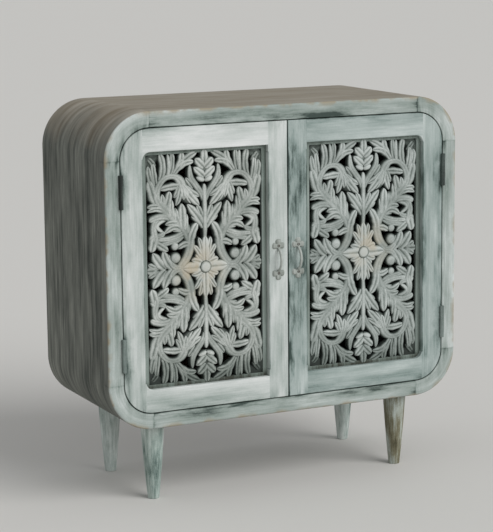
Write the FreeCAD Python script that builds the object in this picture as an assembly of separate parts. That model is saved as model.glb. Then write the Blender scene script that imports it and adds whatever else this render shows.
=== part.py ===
"""A round-cornered two-door sideboard with pierced, carved door panels on four turned legs.

Millimetres. +X runs to the right, +Y to the back and +Z up. The origin lies on the floor, under the
middle of the whole object, pull handles included.
"""

import FreeCAD, Part
import math
import os

from FreeCAD import Vector

# Case
CASE_WIDTH = 900.0
CASE_HEIGHT = 720.0
CASE_DEPTH = 390.0
CORNER_RADIUS = 108.0
BOARD = 22.0
BACK_THICKNESS = 6.0
BACK_LAP = 10.0
BACK_CLEARANCE = 0.5

# Face frame round the doors, as deep as the doors are thick
FRAME_BAND = 36.0
FRAME_OUTER_ROUND = 5.0
FRAME_INNER_ROUND = 1.5

# Doors
DOOR_GAP = 2.0
DOOR_THICKNESS = 28.0
HINGE_STILE = 53.0
MEETING_STILE = 49.0
DOOR_RAIL = 53.0
DOOR_EDGE_ROUND = 1.5
OPENING_RADIUS = 18.0
TENON_LENGTH = 20.0
TENON_WIDTH = 20.0
TENON_THICKNESS = 9.0
TENON_SHOULDER = 3.0

# Carved panels, let into the doors from behind
PANEL_RECESS = 11.0
PANEL_THICKNESS = 12.0
PANEL_LAP = 8.0
PANEL_CLEARANCE = 0.4
PANEL_BORDER = 8.0
PANEL_SIDE_BORDER = 11.0
CARVING_PROUD = 2.5

# Butt hinges
HINGE_LENGTH = 76.0
HINGE_LEAF = 22.0
HINGE_PLATE = 2.0
HINGE_BARREL = 10.0
HINGE_PIN = 5.0
HINGE_PROUD = 3.0
HINGE_KNUCKLES = 5
HINGE_SCREWS = 3
HINGE_FROM_DOOR_END = 100.0
KNUCKLE_CLEARANCE = 0.3
PIN_CLEARANCE = 0.05
BARREL_CLEARANCE = 0.6

# Pull handles
HANDLE_SCREW_SPACING = 64.0
HANDLE_REACH = 20.0
HANDLE_BAR = 6.0
HANDLE_PLATE = 3.0
HANDLE_BOSS = 15.0
HANDLE_LOBE = 10.0
HANDLE_LOBE_REACH = 11.0
HANDLE_LIFT = 3.0

# Legs and their bolts
LEG_HEIGHT = 180.0
LEG_TOP = 56.0
LEG_FOOT = 27.0
LEG_FOOT_ROUND = 2.0
LEG_INSET_X = 130.0
LEG_INSET_Y = 64.0
BOLT = 8.0
BOLT_IN_LEG = 45.0
BOLT_CLEARANCE = 0.3
WASHER = 24.0
WASHER_THICKNESS = 2.0
NUT_ACROSS_FLATS = 13.0
NUT_HEIGHT = 6.5
BOLT_PAST_NUT = 3.0

# Shelf and its cleats
SHELF_THICKNESS = 20.0
SHELF_HEIGHT = 350.0
SHELF_SETBACK = 30.0
SHELF_CLEARANCE = 1.0
CLEAT = 18.0
CLEAT_END = 40.0

# Dowels in the joints of the case
DOWEL = 8.0
DOWEL_LENGTH = 36.0
DOWELS_PER_JOINT = 3

# Wood screws
SCREW_SHANK = 3.5
SCREW_HEAD = 7.0
SCREW_HEAD_DEPTH = 2.0
SCREW_SLOT = 0.9
SCREW_SLOT_DEPTH = 0.8
HINGE_SCREW_LENGTH = 22.0
BACK_SCREW_LENGTH = 22.0
CLEAT_SCREW_LENGTH = 32.0
HANDLE_SCREW_LENGTH = 20.0
CATCH_SCREW_LENGTH = 18.0
BACK_SCREWS_ACROSS = 4
BACK_SCREWS_UP = 3

# Magnetic catch at the top, behind the meeting stiles
CATCH_WIDTH = 76.0
CATCH_DEPTH = 14.0
CATCH_HEIGHT = 32.0
CATCH_CLEARANCE = 0.3
MAGNET_WIDTH = 22.0
MAGNET_HEIGHT = 12.0
MAGNET_DEPTH = 6.0
STRIKE_WIDTH = 26.0
STRIKE_HEIGHT = 16.0
STRIKE_THICKNESS = 1.5

# Places that follow from the sizes above
FLOOR = 0.0
BOTTOM = FLOOR + LEG_HEIGHT
TOP = BOTTOM + CASE_HEIGHT
MIDDLE = (BOTTOM + TOP) / 2
HALF = CASE_WIDTH / 2
FRONT = (HANDLE_REACH - CASE_DEPTH) / 2
BACK = FRONT + CASE_DEPTH
BACK_PANEL_FRONT = BACK - BACK_THICKNESS
DOOR_BACK = FRONT + DOOR_THICKNESS
CARCASS_FRONT = DOOR_BACK
DOOR_OUTER = -(HALF - FRAME_BAND - DOOR_GAP)
DOOR_INNER = -DOOR_GAP / 2
DOOR_TOP = TOP - FRAME_BAND - DOOR_GAP
DOOR_BOTTOM = BOTTOM + FRAME_BAND + DOOR_GAP
DOOR_RADIUS = CORNER_RADIUS - FRAME_BAND - DOOR_GAP
OPENING_LEFT = DOOR_OUTER + HINGE_STILE
OPENING_RIGHT = DOOR_INNER - MEETING_STILE
OPENING_TOP = DOOR_TOP - DOOR_RAIL
OPENING_BOTTOM = DOOR_BOTTOM + DOOR_RAIL
PANEL_X = (OPENING_LEFT + OPENING_RIGHT) / 2
PANEL_Z = (OPENING_TOP + OPENING_BOTTOM) / 2
PANEL_FRONT = FRONT + PANEL_RECESS
PANEL_BACK = PANEL_FRONT + PANEL_THICKNESS
HINGE_X = DOOR_OUTER - DOOR_GAP / 2
HINGE_Y = FRONT - HINGE_PROUD
HANDLE_X = DOOR_INNER - MEETING_STILE / 2
HANDLE_Z = MIDDLE + HANDLE_LIFT
SHELF_TOP = BOTTOM + BOARD + SHELF_HEIGHT
SHELF_BOTTOM = SHELF_TOP - SHELF_THICKNESS

X, Y, Z = Vector(1, 0, 0), Vector(0, 1, 0), Vector(0, 0, 1)

# The carving is drawn in one quarter of the panel, in millimetres from the rosette's centre, on a field
# of this half size. Each blade runs through its base, middle and tip, with a half width at each of them.
FIELD_HALF_WIDTH = 145.0
FIELD_HALF_HEIGHT = 265.0
QUARTER_BLADES = {
    "rosette_petal_low": ((6, 6), (19, 14), (34, 17), (7, 7, 0)),
    "rosette_petal_mid": ((6, 10), (15, 23), (23, 31), (7, 7, 0)),
    "rosette_petal_high": ((5, 14), (17, 36), (28, 51), (6, 6, 0)),
    "rosette_petal_top": ((3, 20), (10, 48), (15, 68), (6, 6, 0)),
    "stem_leaf": ((1, 88), (18, 117), (43, 147), (5, 10, 1)),
    "stem_leaf_spur": ((10, 101), (22, 111), (33, 119), (5, 5, 0)),
    "stem_leaf_inner": ((5, 104), (11, 126), (19, 144), (6, 7, 0)),
    "sepal_spur": ((26, 184), (37, 197), (46, 208), (8, 6, 0)),
    "bud_leaf_low": ((0, 200), (10, 204), (20, 208), (3, 5.5, 0)),
    "bud_leaf_mid": ((0, 208), (12, 219), (26, 231), (8, 8.5, 0)),
    "bud_leaf_high": ((0, 229), (11, 240), (22, 251), (8, 9.5, 0)),
    "fan_leaf_low": ((75, 217), (54, 240), (26, 244), (5, 7.5, 3)),
    "fan_leaf_long": ((77, 217), (48, 250), (17, 266), (6, 8.5, 2)),
    "fan_leaf_inner": ((78, 217), (60, 243), (56, 268), (5, 8, 4)),
    "fan_leaf_upright": ((87, 212), (80, 240), (80, 268), (5, 6, 4)),
    "fan_leaf_side": ((92, 210), (88, 236), (90, 265), (5, 5, 2)),
    "fan_finger": ((112, 200), (103, 234), (110, 267), (6, 8, 5)),
    "corner_leaf": ((120, 194), (125, 222), (127, 246), (6, 6.5, 2)),
    "corner_leaf_outer": ((123, 188), (135, 212), (138, 240), (7, 7.5, 2)),
    "corner_tip": ((120, 238), (128, 248), (136, 254), (4, 5, 1)),
    "border_leaf": ((114, 146), (129, 176), (137, 211), (9, 12, 2)),
    "hooked_leaf": ((37, 52), (32, 80), (17, 104), (9, 9.5, 0)),
    "hanging_lobe_1": ((60, 198), (37, 178), (12, 164), (4, 7.5, 0)),
    "hanging_lobe_2": ((60, 200), (37, 169), (13, 143), (4, 9, 1)),
    "hanging_lobe_3": ((58, 198), (46, 172), (33, 149), (4, 6.5, 0)),
    "hanging_lobe_4": ((59, 200), (54, 176), (51, 158), (4, 6, 0)),
    "hanging_lobe_5": ((58, 198), (62, 172), (71, 146), (4, 7.5, 0)),
    "hanging_lobe_6": ((62, 198), (67, 180), (76, 164), (4, 6.5, 0)),
    "beak_leaf": ((60, 190), (86, 190), (111, 185), (7, 7.5, 1)),
    "inner_leaf": ((98, 140), (91, 160), (87, 180), (8, 9, 1)),
    "inner_leaf_side": ((106, 140), (105, 157), (104, 174), (6, 6.5, 0)),
    "tall_leaf": ((54, 84), (56, 117), (57, 150), (10, 11, 1)),
    "tall_leaf_left": ((50, 82), (48, 105), (46, 127), (8, 6, 0)),
    "tall_leaf_right": ((66, 102), (71, 120), (72, 140), (8, 7, 0)),
    "tall_leaf_far": ((80, 114), (84, 136), (81, 160), (9, 7.5, 0)),
    "brow_leaf": ((92, 128), (117, 141), (142, 135), (6, 6, 0)),
    "brow_leaf_outer": ((104, 141), (122, 148), (142, 146), (7, 6, 1)),
    "curl_leaf": ((57, 88), (78, 97), (101, 83), (8, 7.5, 0)),
    "curl_leaf_upper": ((62, 102), (80, 107), (98, 104), (8, 7, 0)),
    "curl_leaf_low": ((56, 83), (67, 89), (80, 88), (5, 4.5, 0)),
    "fall_lobe_down": ((122, 84), (129, 63), (134, 43), (9, 10.5, 2)),
    "fall_lobe_in": ((120, 62), (107, 53), (92, 43), (8, 8, 1)),
    "fall_lobe_out": ((126, 86), (132, 78), (138, 70), (6, 5, 0)),
    "thorn_low": ((38, 56), (55, 55), (69, 46), (7, 7, 0)),
    "chevron_inner": ((79, 0), (96, 19), (104, 44), (7, 10.5, 0)),
    "chevron_outer": ((98, 0), (116, 18), (130, 41), (7, 11.5, 0)),
    "edge_leaf": ((116, 0), (129, 8), (141, 15), (5, 6.5, 2)),
    "sepal_low": ((1, 150), (10, 175), (26, 198), (5, 6.5, 7)),
    "sepal_high": ((21, 184), (35, 208), (35, 237), (6, 7, 3)),
    "corner_web": ((104, 262), (134, 252), (142, 214), (8, 15, 7)),
    "scroll_foot": ((68, 0), (45, 26), (38, 62), (10, 10.5, 12)),
    "scroll_rise": ((36, 55), (47, 84), (62, 112), (12, 13, 14)),
    "scroll_body": ((56, 98), (80, 124), (106, 148), (14, 16, 11)),
    "scroll_bend": ((100, 138), (120, 166), (112, 198), (11, 9, 8)),
    "scroll_arch": ((115, 186), (98, 212), (66, 211), (8, 6.5, 7)),
    "hanging_head": ((73, 213), (59, 201), (51, 176), (7, 12.5, 8)),
    "curl_top": ((78, 114), (108, 123), (138, 114), (7, 7.5, 8)),
    "curl_turn": ((112, 121), (128, 108), (126, 80), (6, 7.5, 8.5)),
    "curl_fall": ((127, 96), (125, 78), (120, 58), (8, 9, 8)),
    "curl_eye": ((92, 116), (119, 104), (103, 87), (3, 4.5, 3)),
    "curl_tongue": ((124, 81), (110, 80), (101, 89), (6, 6, 3)),
    "ribbon_upper": ((52, 80), (84, 72), (118, 70), (5, 5.5, 6)),
    "ribbon_lower": ((52, 75), (84, 65), (113, 59), (3, 5.5, 6)),
    "berry_cup": ((58, 4), (80, 7), (91, 34), (7, 7, 2)),
}
# Blades that lie along the upright middle line, and those along the level one.
UPRIGHT_BLADES = {
    "rosette_petal_up": ((0, 8), (0, 40), (0, 73), (8, 9.5, 0)),
    "bud_tip": ((0, 240), (0, 256), (0, 272), (5, 9, 2)),
    "stem_low": ((0, 55), (0, 78), (0, 104), (4, 4.5, 6)),
    "stem_high": ((0, 98), (0, 140), (0, 192), (6, 5.5, 7)),
    "bud_core": ((0, 196), (0, 220), (0, 246), (6, 15, 6)),
}
LEVEL_BLADES = {
    "rosette_petal_side": ((6, 0), (26, 0), (57, 0), (13, 13.5, 0)),
    "edge_diamond": ((112, 0), (128, 0), (145, 0), (3, 10, 6)),
}
# Round bosses of the quarter: centre and radius. The rosette's own boss stands at the panel's centre.
BOSSES = {
    "berry_large": ((75, 26), 14.0),
    "berry_small": ((76, 53), 10.5),
}
ROSETTE_BOSS = 14.5
BOSS_PROUD = 2.0


def block(x0, x1, y0, y1, z0, z1):
    """A box between two corners."""
    return Part.makeBox(x1 - x0, y1 - y0, z1 - z0, Vector(x0, y0, z0))


def rod(radius, start, direction, length):
    """A cylinder from a point along a direction."""
    return Part.makeCylinder(radius, length, start, direction)


def mirrored(shape):
    """The same shape on the other side of the case's middle plane."""
    return shape.mirror(Vector(0, 0, 0), X)


def joined(shapes):
    """Several overlapping solids as one clean solid."""
    first, *rest = shapes
    return (first.multiFuse(rest) if rest else first).removeSplitter()


def without(shape, tools):
    """A solid with every tool cut away."""
    return shape.cut(Part.makeCompound(tools)) if tools else shape


def rounded_plate(x0, x1, z0, z1, left_radius, right_radius, y0, y1):
    """An upright plate between two depths. Its left and right pairs of corners each have a radius."""
    corners = [
        (Vector(x0, y0, z0), Vector(1, 0, 1), left_radius),
        (Vector(x1, y0, z0), Vector(-1, 0, 1), right_radius),
        (Vector(x1, y0, z1), Vector(-1, 0, -1), right_radius),
        (Vector(x0, y0, z1), Vector(1, 0, -1), left_radius),
    ]
    along = [X, Z, X * -1, Z * -1]
    edges = []
    ends = []
    for (corner, inward, radius), leaving in zip(corners, along):
        if radius <= 0:
            ends.append((corner, corner))
            continue
        centre = corner + inward * radius
        middle = centre - inward * (radius / math.sqrt(2))
        finish = corner + leaving * radius
        start = corner + inward * radius - leaving * radius
        edges.append(Part.Arc(start, middle, finish).toShape())
        ends.append((start, finish))
    for here, following in zip(ends, ends[1:] + ends[:1]):
        edges.append(Part.LineSegment(here[1], following[0]).toShape())
    wire = Part.Wire(Part.__sortEdges__(edges))
    return Part.Face(wire).extrude(Y * (y1 - y0))


def case_ring(inset, y0, y1):
    """The case's outline, drawn in by an inset, as a plate between two depths."""
    half = HALF - inset
    radius = CORNER_RADIUS - inset
    return rounded_plate(-half, half, BOTTOM + inset, TOP - inset, radius, radius, y0, y1)


def front_edges(solid, y, belongs):
    """The edges that lie in the plane at y and pass a test on their middle point."""
    found = []
    for edge in solid.Edges:
        flat = all(abs(v.Point.y - y) < 1e-6 for v in edge.Vertexes)
        if flat and belongs(edge.CenterOfMass):
            found.append(edge)
    return found


def eight_pieces(ring, names):
    """Cuts a ring at the ends of its corner arcs into four straight pieces and four corners."""
    straight_x = HALF - CORNER_RADIUS
    low, high = BOTTOM + CORNER_RADIUS, TOP - CORNER_RADIUS
    box = ring.BoundBox
    spans = {
        "top": (-straight_x, straight_x, high, TOP),
        "bottom": (-straight_x, straight_x, BOTTOM, low),
        "left": (-HALF, -straight_x, low, high),
        "right": (straight_x, HALF, low, high),
        "top_left": (-HALF, -straight_x, high, TOP),
        "top_right": (straight_x, HALF, high, TOP),
        "bottom_left": (-HALF, -straight_x, BOTTOM, low),
        "bottom_right": (straight_x, HALF, BOTTOM, low),
    }
    pieces = {}
    for place, name in names.items():
        x0, x1, z0, z1 = spans[place]
        pieces[name] = ring.common(block(x0, x1, box.YMin, box.YMax, z0, z1))
    return pieces


def wood_screw(head, direction, length):
    """A slotted countersunk wood screw. The head's flat top is centred on a point."""
    r_head, r_shank = SCREW_HEAD / 2, SCREW_SHANK / 2
    cone = Part.makeCone(r_head, r_shank, SCREW_HEAD_DEPTH, head, direction)
    shank_start = head + direction * SCREW_HEAD_DEPTH
    shank_length = length - SCREW_HEAD_DEPTH - SCREW_SHANK
    shank = rod(r_shank, shank_start, direction, shank_length)
    point = Part.makeCone(r_shank, 0, SCREW_SHANK, shank_start + direction * shank_length, direction)
    side = Z if abs(direction.z) < 0.5 else X
    across = direction.cross(side)
    corner = head - side * SCREW_HEAD - across * (SCREW_SLOT / 2)
    slot_face = Part.Face(Part.makePolygon([
        corner,
        corner + side * (2 * SCREW_HEAD),
        corner + side * (2 * SCREW_HEAD) + across * SCREW_SLOT,
        corner + across * SCREW_SLOT,
        corner,
    ]))
    slot = slot_face.extrude(direction * SCREW_SLOT_DEPTH)
    return joined([cone, shank, point]).cut(slot)


def screw_hole(head, direction, length):
    """The hole that a wood screw fills, countersink included."""
    r_head, r_shank = SCREW_HEAD / 2, SCREW_SHANK / 2
    cone = Part.makeCone(r_head, r_shank, SCREW_HEAD_DEPTH, head, direction)
    return cone.fuse(rod(r_shank, head, direction, length))


def carcass():
    """Boards and coopered corners behind the face frame, with the dowels in their joints."""
    ring = case_ring(0, CARCASS_FRONT, BACK).cut(case_ring(BOARD, CARCASS_FRONT, BACK))
    back_seat = case_ring(BOARD - BACK_LAP, BACK_PANEL_FRONT, BACK)
    pieces = eight_pieces(ring.cut(back_seat), {
        "top": "top_panel",
        "bottom": "bottom_panel",
        "left": "left_side_panel",
        "right": "right_side_panel",
        "top_left": "top_left_corner",
        "top_right": "top_right_corner",
        "bottom_left": "bottom_left_corner",
        "bottom_right": "bottom_right_corner",
    })
    dowels = []
    middle_x, middle_z = HALF - BOARD / 2, CASE_HEIGHT / 2 - BOARD / 2
    joint_x, joint_z = HALF - CORNER_RADIUS, CASE_HEIGHT / 2 - CORNER_RADIUS
    spacing = (BACK_PANEL_FRONT - CARCASS_FRONT) / (DOWELS_PER_JOINT + 1)
    for number in range(DOWELS_PER_JOINT):
        y = CARCASS_FRONT + spacing * (number + 1)
        for side_x in (-1, 1):
            for side_z in (-1, 1):
                level = Vector(side_x * joint_x - DOWEL_LENGTH / 2, y, MIDDLE + side_z * middle_z)
                upright = Vector(side_x * middle_x, y, MIDDLE + side_z * joint_z - DOWEL_LENGTH / 2)
                dowels.append(rod(DOWEL / 2, level, X, DOWEL_LENGTH))
                dowels.append(rod(DOWEL / 2, upright, Z, DOWEL_LENGTH))
    pieces = {name: without(piece, dowels) for name, piece in pieces.items()}
    pieces["carcass_dowels"] = Part.makeCompound(dowels)
    return pieces


def back(pieces):
    """The thin back panel in its rebate, and the screws that hold it to the boards."""
    plate = case_ring(BOARD - BACK_LAP + BACK_CLEARANCE, BACK_PANEL_FRONT, BACK)
    line = BOARD - BACK_LAP / 2
    heads = []
    for side in (-1, 1):
        for number in range(BACK_SCREWS_ACROSS):
            share = (number + 0.5) / BACK_SCREWS_ACROSS * 2 - 1
            x = share * (HALF - CORNER_RADIUS)
            heads.append(Vector(x, BACK, MIDDLE + side * (CASE_HEIGHT / 2 - line)))
        for number in range(BACK_SCREWS_UP):
            share = (number + 0.5) / BACK_SCREWS_UP * 2 - 1
            z = MIDDLE + share * (CASE_HEIGHT / 2 - CORNER_RADIUS)
            heads.append(Vector(side * (HALF - line), BACK, z))
    holes = [screw_hole(head, Y * -1, BACK_SCREW_LENGTH) for head in heads]
    for name in ("top_panel", "bottom_panel", "left_side_panel", "right_side_panel"):
        pieces[name] = without(pieces[name], holes)
    pieces["back_panel"] = without(plate, holes)
    screws = [wood_screw(head, Y * -1, BACK_SCREW_LENGTH) for head in heads]
    pieces["back_panel_screws"] = Part.makeCompound(screws)


def face_frame():
    """The band round the doors: rails, stiles and quarter-round corners, eased along the front."""
    ring = case_ring(0, FRONT, CARCASS_FRONT).cut(case_ring(FRAME_BAND, FRONT, CARCASS_FRONT))
    edge_x, edge_z = HALF - FRAME_BAND / 2, CASE_HEIGHT / 2 - FRAME_BAND / 2
    corner = CORNER_RADIUS - FRAME_BAND / 2
    core_x, core_z = HALF - CORNER_RADIUS, CASE_HEIGHT / 2 - CORNER_RADIUS

    def outside_middle_of_band(point):
        x, z = abs(point.x), abs(point.z - MIDDLE)
        if x > core_x and z > core_z:
            return math.hypot(x - core_x, z - core_z) > corner
        return x > edge_x or z > edge_z

    outer = front_edges(ring, FRONT, outside_middle_of_band)
    ring = ring.makeFillet(FRAME_OUTER_ROUND, outer)
    inner = front_edges(ring, FRONT, lambda point: not outside_middle_of_band(point))
    inner = [e for e in inner if on_outline(e, FRAME_BAND)]
    ring = ring.makeFillet(FRAME_INNER_ROUND, inner)
    return eight_pieces(ring, {
        "top": "frame_top_rail",
        "bottom": "frame_bottom_rail",
        "left": "frame_left_stile",
        "right": "frame_right_stile",
        "top_left": "frame_top_left_corner",
        "top_right": "frame_top_right_corner",
        "bottom_left": "frame_bottom_left_corner",
        "bottom_right": "frame_bottom_right_corner",
    })


def on_outline(edge, inset):
    """True where an edge lies on the case's outline drawn in by an inset."""
    core_x, core_z = HALF - CORNER_RADIUS, CASE_HEIGHT / 2 - CORNER_RADIUS
    radius = CORNER_RADIUS - inset
    for vertex in edge.Vertexes:
        x, z = abs(vertex.Point.x) - core_x, abs(vertex.Point.z - MIDDLE) - core_z
        if abs(math.hypot(max(x, 0), max(z, 0)) - radius) > 1e-3:
            return False
    return True


def hinge(z0):
    """One left-hand butt hinge from a height upwards: its pieces, and what it needs cut from the wood."""
    knuckle = HINGE_LENGTH / HINGE_KNUCKLES
    radius = HINGE_BARREL / 2
    foot = Vector(HINGE_X, HINGE_Y, z0)
    plate_end = FRONT + HINGE_LEAF
    frame_face, door_face = HINGE_X - DOOR_GAP / 2, HINGE_X + DOOR_GAP / 2
    plates = [
        block(frame_face - HINGE_PLATE, frame_face, HINGE_Y, plate_end, z0, z0 + HINGE_LENGTH),
        block(door_face, door_face + HINGE_PLATE, HINGE_Y, plate_end, z0, z0 + HINGE_LENGTH),
    ]
    barrels, gaps = [[], []], [[], []]
    for number in range(HINGE_KNUCKLES):
        owner = number % 2
        start = foot + Z * (number * knuckle)
        trim = KNUCKLE_CLEARANCE / 2
        barrels[owner].append(rod(radius, start + Z * trim, Z, knuckle - 2 * trim))
        gaps[1 - owner].append(rod(radius + KNUCKLE_CLEARANCE, start - Z * trim, Z, knuckle + 2 * trim))
    bore = rod(HINGE_PIN / 2 + PIN_CLEARANCE, foot - Z * radius, Z, HINGE_LENGTH + 2 * radius)
    heads, ways = [[], []], [X * -1, X]
    for number in range(HINGE_SCREWS):
        z = z0 + HINGE_LENGTH * (number + 0.5) / HINGE_SCREWS
        y = FRONT + HINGE_LEAF * (0.62 if number % 2 else 0.45)
        heads[0].append(Vector(frame_face, y, z))
        heads[1].append(Vector(door_face, y, z))
    leaves, screws, recesses = [], [], []
    channel = rod(radius + BARREL_CLEARANCE, foot, Z, HINGE_LENGTH)
    for side in (0, 1):
        holes = [screw_hole(head, ways[side], HINGE_SCREW_LENGTH) for head in heads[side]]
        leaf = joined([plates[side].cut(Part.makeCompound(gaps[side])), *barrels[side]])
        leaves.append(without(leaf, [bore, *holes]))
        screws.append([wood_screw(head, ways[side], HINGE_SCREW_LENGTH) for head in heads[side]])
        recesses.append([channel, plates[side], *holes])
    pin = rod(HINGE_PIN / 2, foot, Z, HINGE_LENGTH)
    return {"leaves": leaves, "screws": screws, "recesses": recesses, "pin": pin}


def blade_face(base, middle, tip, widths, place):
    """A leaf or stem seen from the front: two side curves through three points each, closed at the ends."""
    points = [base, middle, tip]
    chord = [tip[0] - base[0], tip[1] - base[1]]
    ways = [
        [2 * (middle[k] - base[k]) - chord[k] / 2 for k in (0, 1)],
        chord,
        [2 * (tip[k] - middle[k]) - chord[k] / 2 for k in (0, 1)],
    ]
    sides = [[], []]
    for point, way, width in zip(points, ways, widths):
        length = math.hypot(*way)
        normal = (-way[1] / length, way[0] / length)
        for side, sign in zip(sides, (1, -1)):
            side.append(place(point[0] + sign * width * normal[0], point[1] + sign * width * normal[1]))
    edges = [side_curve(*side) for side in sides]
    for k in (0, 2):
        if widths[k] > 0:
            edges.append(Part.LineSegment(sides[0][k], sides[1][k]).toShape())
    return facing_back(Part.Wire(Part.__sortEdges__(edges)))


def facing_back(wire):
    """A flat face inside a wire. All such faces look the same way, so that they join into one."""
    face = Part.Face(wire)
    if face.normalAt(0, 0).y < 0:
        backwards = [edge.reversed() for edge in reversed(wire.OrderedEdges)]
        face = Part.Face(Part.Wire(backwards))
    return face


def side_curve(start, middle, end):
    """An arc through three points, or a line where they are in line."""
    bend = (middle - start).cross(end - middle).Length
    if bend < 1e-6 * (end - start).Length ** 2:
        return Part.LineSegment(start, end).toShape()
    return Part.Arc(start, middle, end).toShape()


def carved_panel():
    """One pierced panel: a plain border, and the leaves, stems and bosses of four mirrored quarters."""
    half_x = (OPENING_RIGHT - OPENING_LEFT) / 2
    half_z = (OPENING_TOP - OPENING_BOTTOM) / 2
    scale_x = (half_x - PANEL_SIDE_BORDER) / FIELD_HALF_WIDTH
    scale_z = (half_z - PANEL_BORDER) / FIELD_HALF_HEIGHT

    def placer(flip_x, flip_z):
        def place(u, v):
            return Vector(PANEL_X + flip_x * u * scale_x, PANEL_BACK, PANEL_Z + flip_z * v * scale_z)
        return place

    both = [(flip_x, flip_z) for flip_x in (-1, 1) for flip_z in (-1, 1)]
    faces = []
    for blades, flips in (
        (QUARTER_BLADES, both),
        (UPRIGHT_BLADES, [(1, 1), (1, -1)]),
        (LEVEL_BLADES, [(1, 1), (-1, 1)]),
    ):
        for flip in flips:
            faces += [blade_face(*blade, placer(*flip)) for blade in blades.values()]
    discs = [(placer(1, 1)(0, 0), ROSETTE_BOSS)]
    for (u, v), radius in BOSSES.values():
        discs += [(placer(*flip)(u, v), radius) for flip in both]
    faces += [facing_back(Part.Wire(Part.makeCircle(radius, centre, Y))) for centre, radius in discs]
    pattern = faces[0].multiFuse(faces[1:]).removeSplitter()
    carving = [face.extrude(Y * -(PANEL_THICKNESS + CARVING_PROUD)) for face in pattern.Faces]
    bosses = [
        rod(radius, centre - Y * PANEL_THICKNESS, Y * -1, CARVING_PROUD + BOSS_PROUD)
        for centre, radius in discs
    ]
    edge_x = half_x + PANEL_LAP - PANEL_CLEARANCE
    edge_z = half_z + PANEL_LAP - PANEL_CLEARANCE
    field_x, field_z = half_x - PANEL_SIDE_BORDER, half_z - PANEL_BORDER
    depth = (PANEL_FRONT, PANEL_BACK)
    board = block(PANEL_X - edge_x, PANEL_X + edge_x, *depth, PANEL_Z - edge_z, PANEL_Z + edge_z)
    field = block(PANEL_X - field_x, PANEL_X + field_x, *depth, PANEL_Z - field_z, PANEL_Z + field_z)
    return joined([board.cut(field), *carving, *bosses])


def panel_beads():
    """Four strips behind the panel, mitre-free, that hold it in its rebate."""
    x0, x1 = OPENING_LEFT - PANEL_LAP, OPENING_RIGHT + PANEL_LAP
    z0, z1 = OPENING_BOTTOM - PANEL_LAP, OPENING_TOP + PANEL_LAP
    return Part.makeCompound([
        block(x0, OPENING_LEFT, PANEL_BACK, DOOR_BACK, z0, z1),
        block(OPENING_RIGHT, x1, PANEL_BACK, DOOR_BACK, z0, z1),
        block(OPENING_LEFT, OPENING_RIGHT, PANEL_BACK, DOOR_BACK, z0, OPENING_BOTTOM),
        block(OPENING_LEFT, OPENING_RIGHT, PANEL_BACK, DOOR_BACK, OPENING_TOP, z1),
    ])


def door_frame():
    """Stiles and rails of the left door, with tenons on the rails and a rebate for the panel."""
    leaf = rounded_plate(
        DOOR_OUTER, DOOR_INNER, DOOR_BOTTOM, DOOR_TOP, DOOR_RADIUS, 0, FRONT, DOOR_BACK)
    opening = rounded_plate(
        OPENING_LEFT, OPENING_RIGHT, OPENING_BOTTOM, OPENING_TOP, OPENING_RADIUS, 0, FRONT, DOOR_BACK)
    frame = leaf.cut(opening)
    frame = frame.makeFillet(DOOR_EDGE_ROUND, front_edges(frame, FRONT, lambda point: True))
    rebate = block(
        OPENING_LEFT - PANEL_LAP, OPENING_RIGHT + PANEL_LAP, PANEL_FRONT, DOOR_BACK,
        OPENING_BOTTOM - PANEL_LAP, OPENING_TOP + PANEL_LAP)
    frame = frame.cut(rebate)
    middle_y = (FRONT + DOOR_BACK) / 2
    tenon_y = (middle_y - TENON_THICKNESS / 2, middle_y + TENON_THICKNESS / 2)
    start = PANEL_LAP + TENON_SHOULDER
    spans = {
        "top_rail": (OPENING_TOP + start, OPENING_TOP + start + TENON_WIDTH),
        "bottom_rail": (OPENING_BOTTOM - start - TENON_WIDTH, OPENING_BOTTOM - start),
    }
    tenons = {}
    for name, span in spans.items():
        tenons[name] = [
            block(OPENING_LEFT - TENON_LENGTH, OPENING_LEFT, *tenon_y, *span),
            block(OPENING_RIGHT, OPENING_RIGHT + TENON_LENGTH, *tenon_y, *span),
        ]
    mortises = tenons["top_rail"] + tenons["bottom_rail"]
    box = (FRONT, DOOR_BACK)
    pieces = {
        "hinge_stile": without(
            frame.common(block(DOOR_OUTER, OPENING_LEFT, *box, DOOR_BOTTOM, DOOR_TOP)), mortises),
        "meeting_stile": without(
            frame.common(block(OPENING_RIGHT, DOOR_INNER, *box, DOOR_BOTTOM, DOOR_TOP)), mortises),
    }
    for name, (z0, z1) in {
        "top_rail": (MIDDLE, DOOR_TOP),
        "bottom_rail": (DOOR_BOTTOM, MIDDLE),
    }.items():
        rail = frame.common(block(OPENING_LEFT, OPENING_RIGHT, *box, z0, z1))
        pieces[name] = joined([rail, *tenons[name]])
    return pieces


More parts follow.
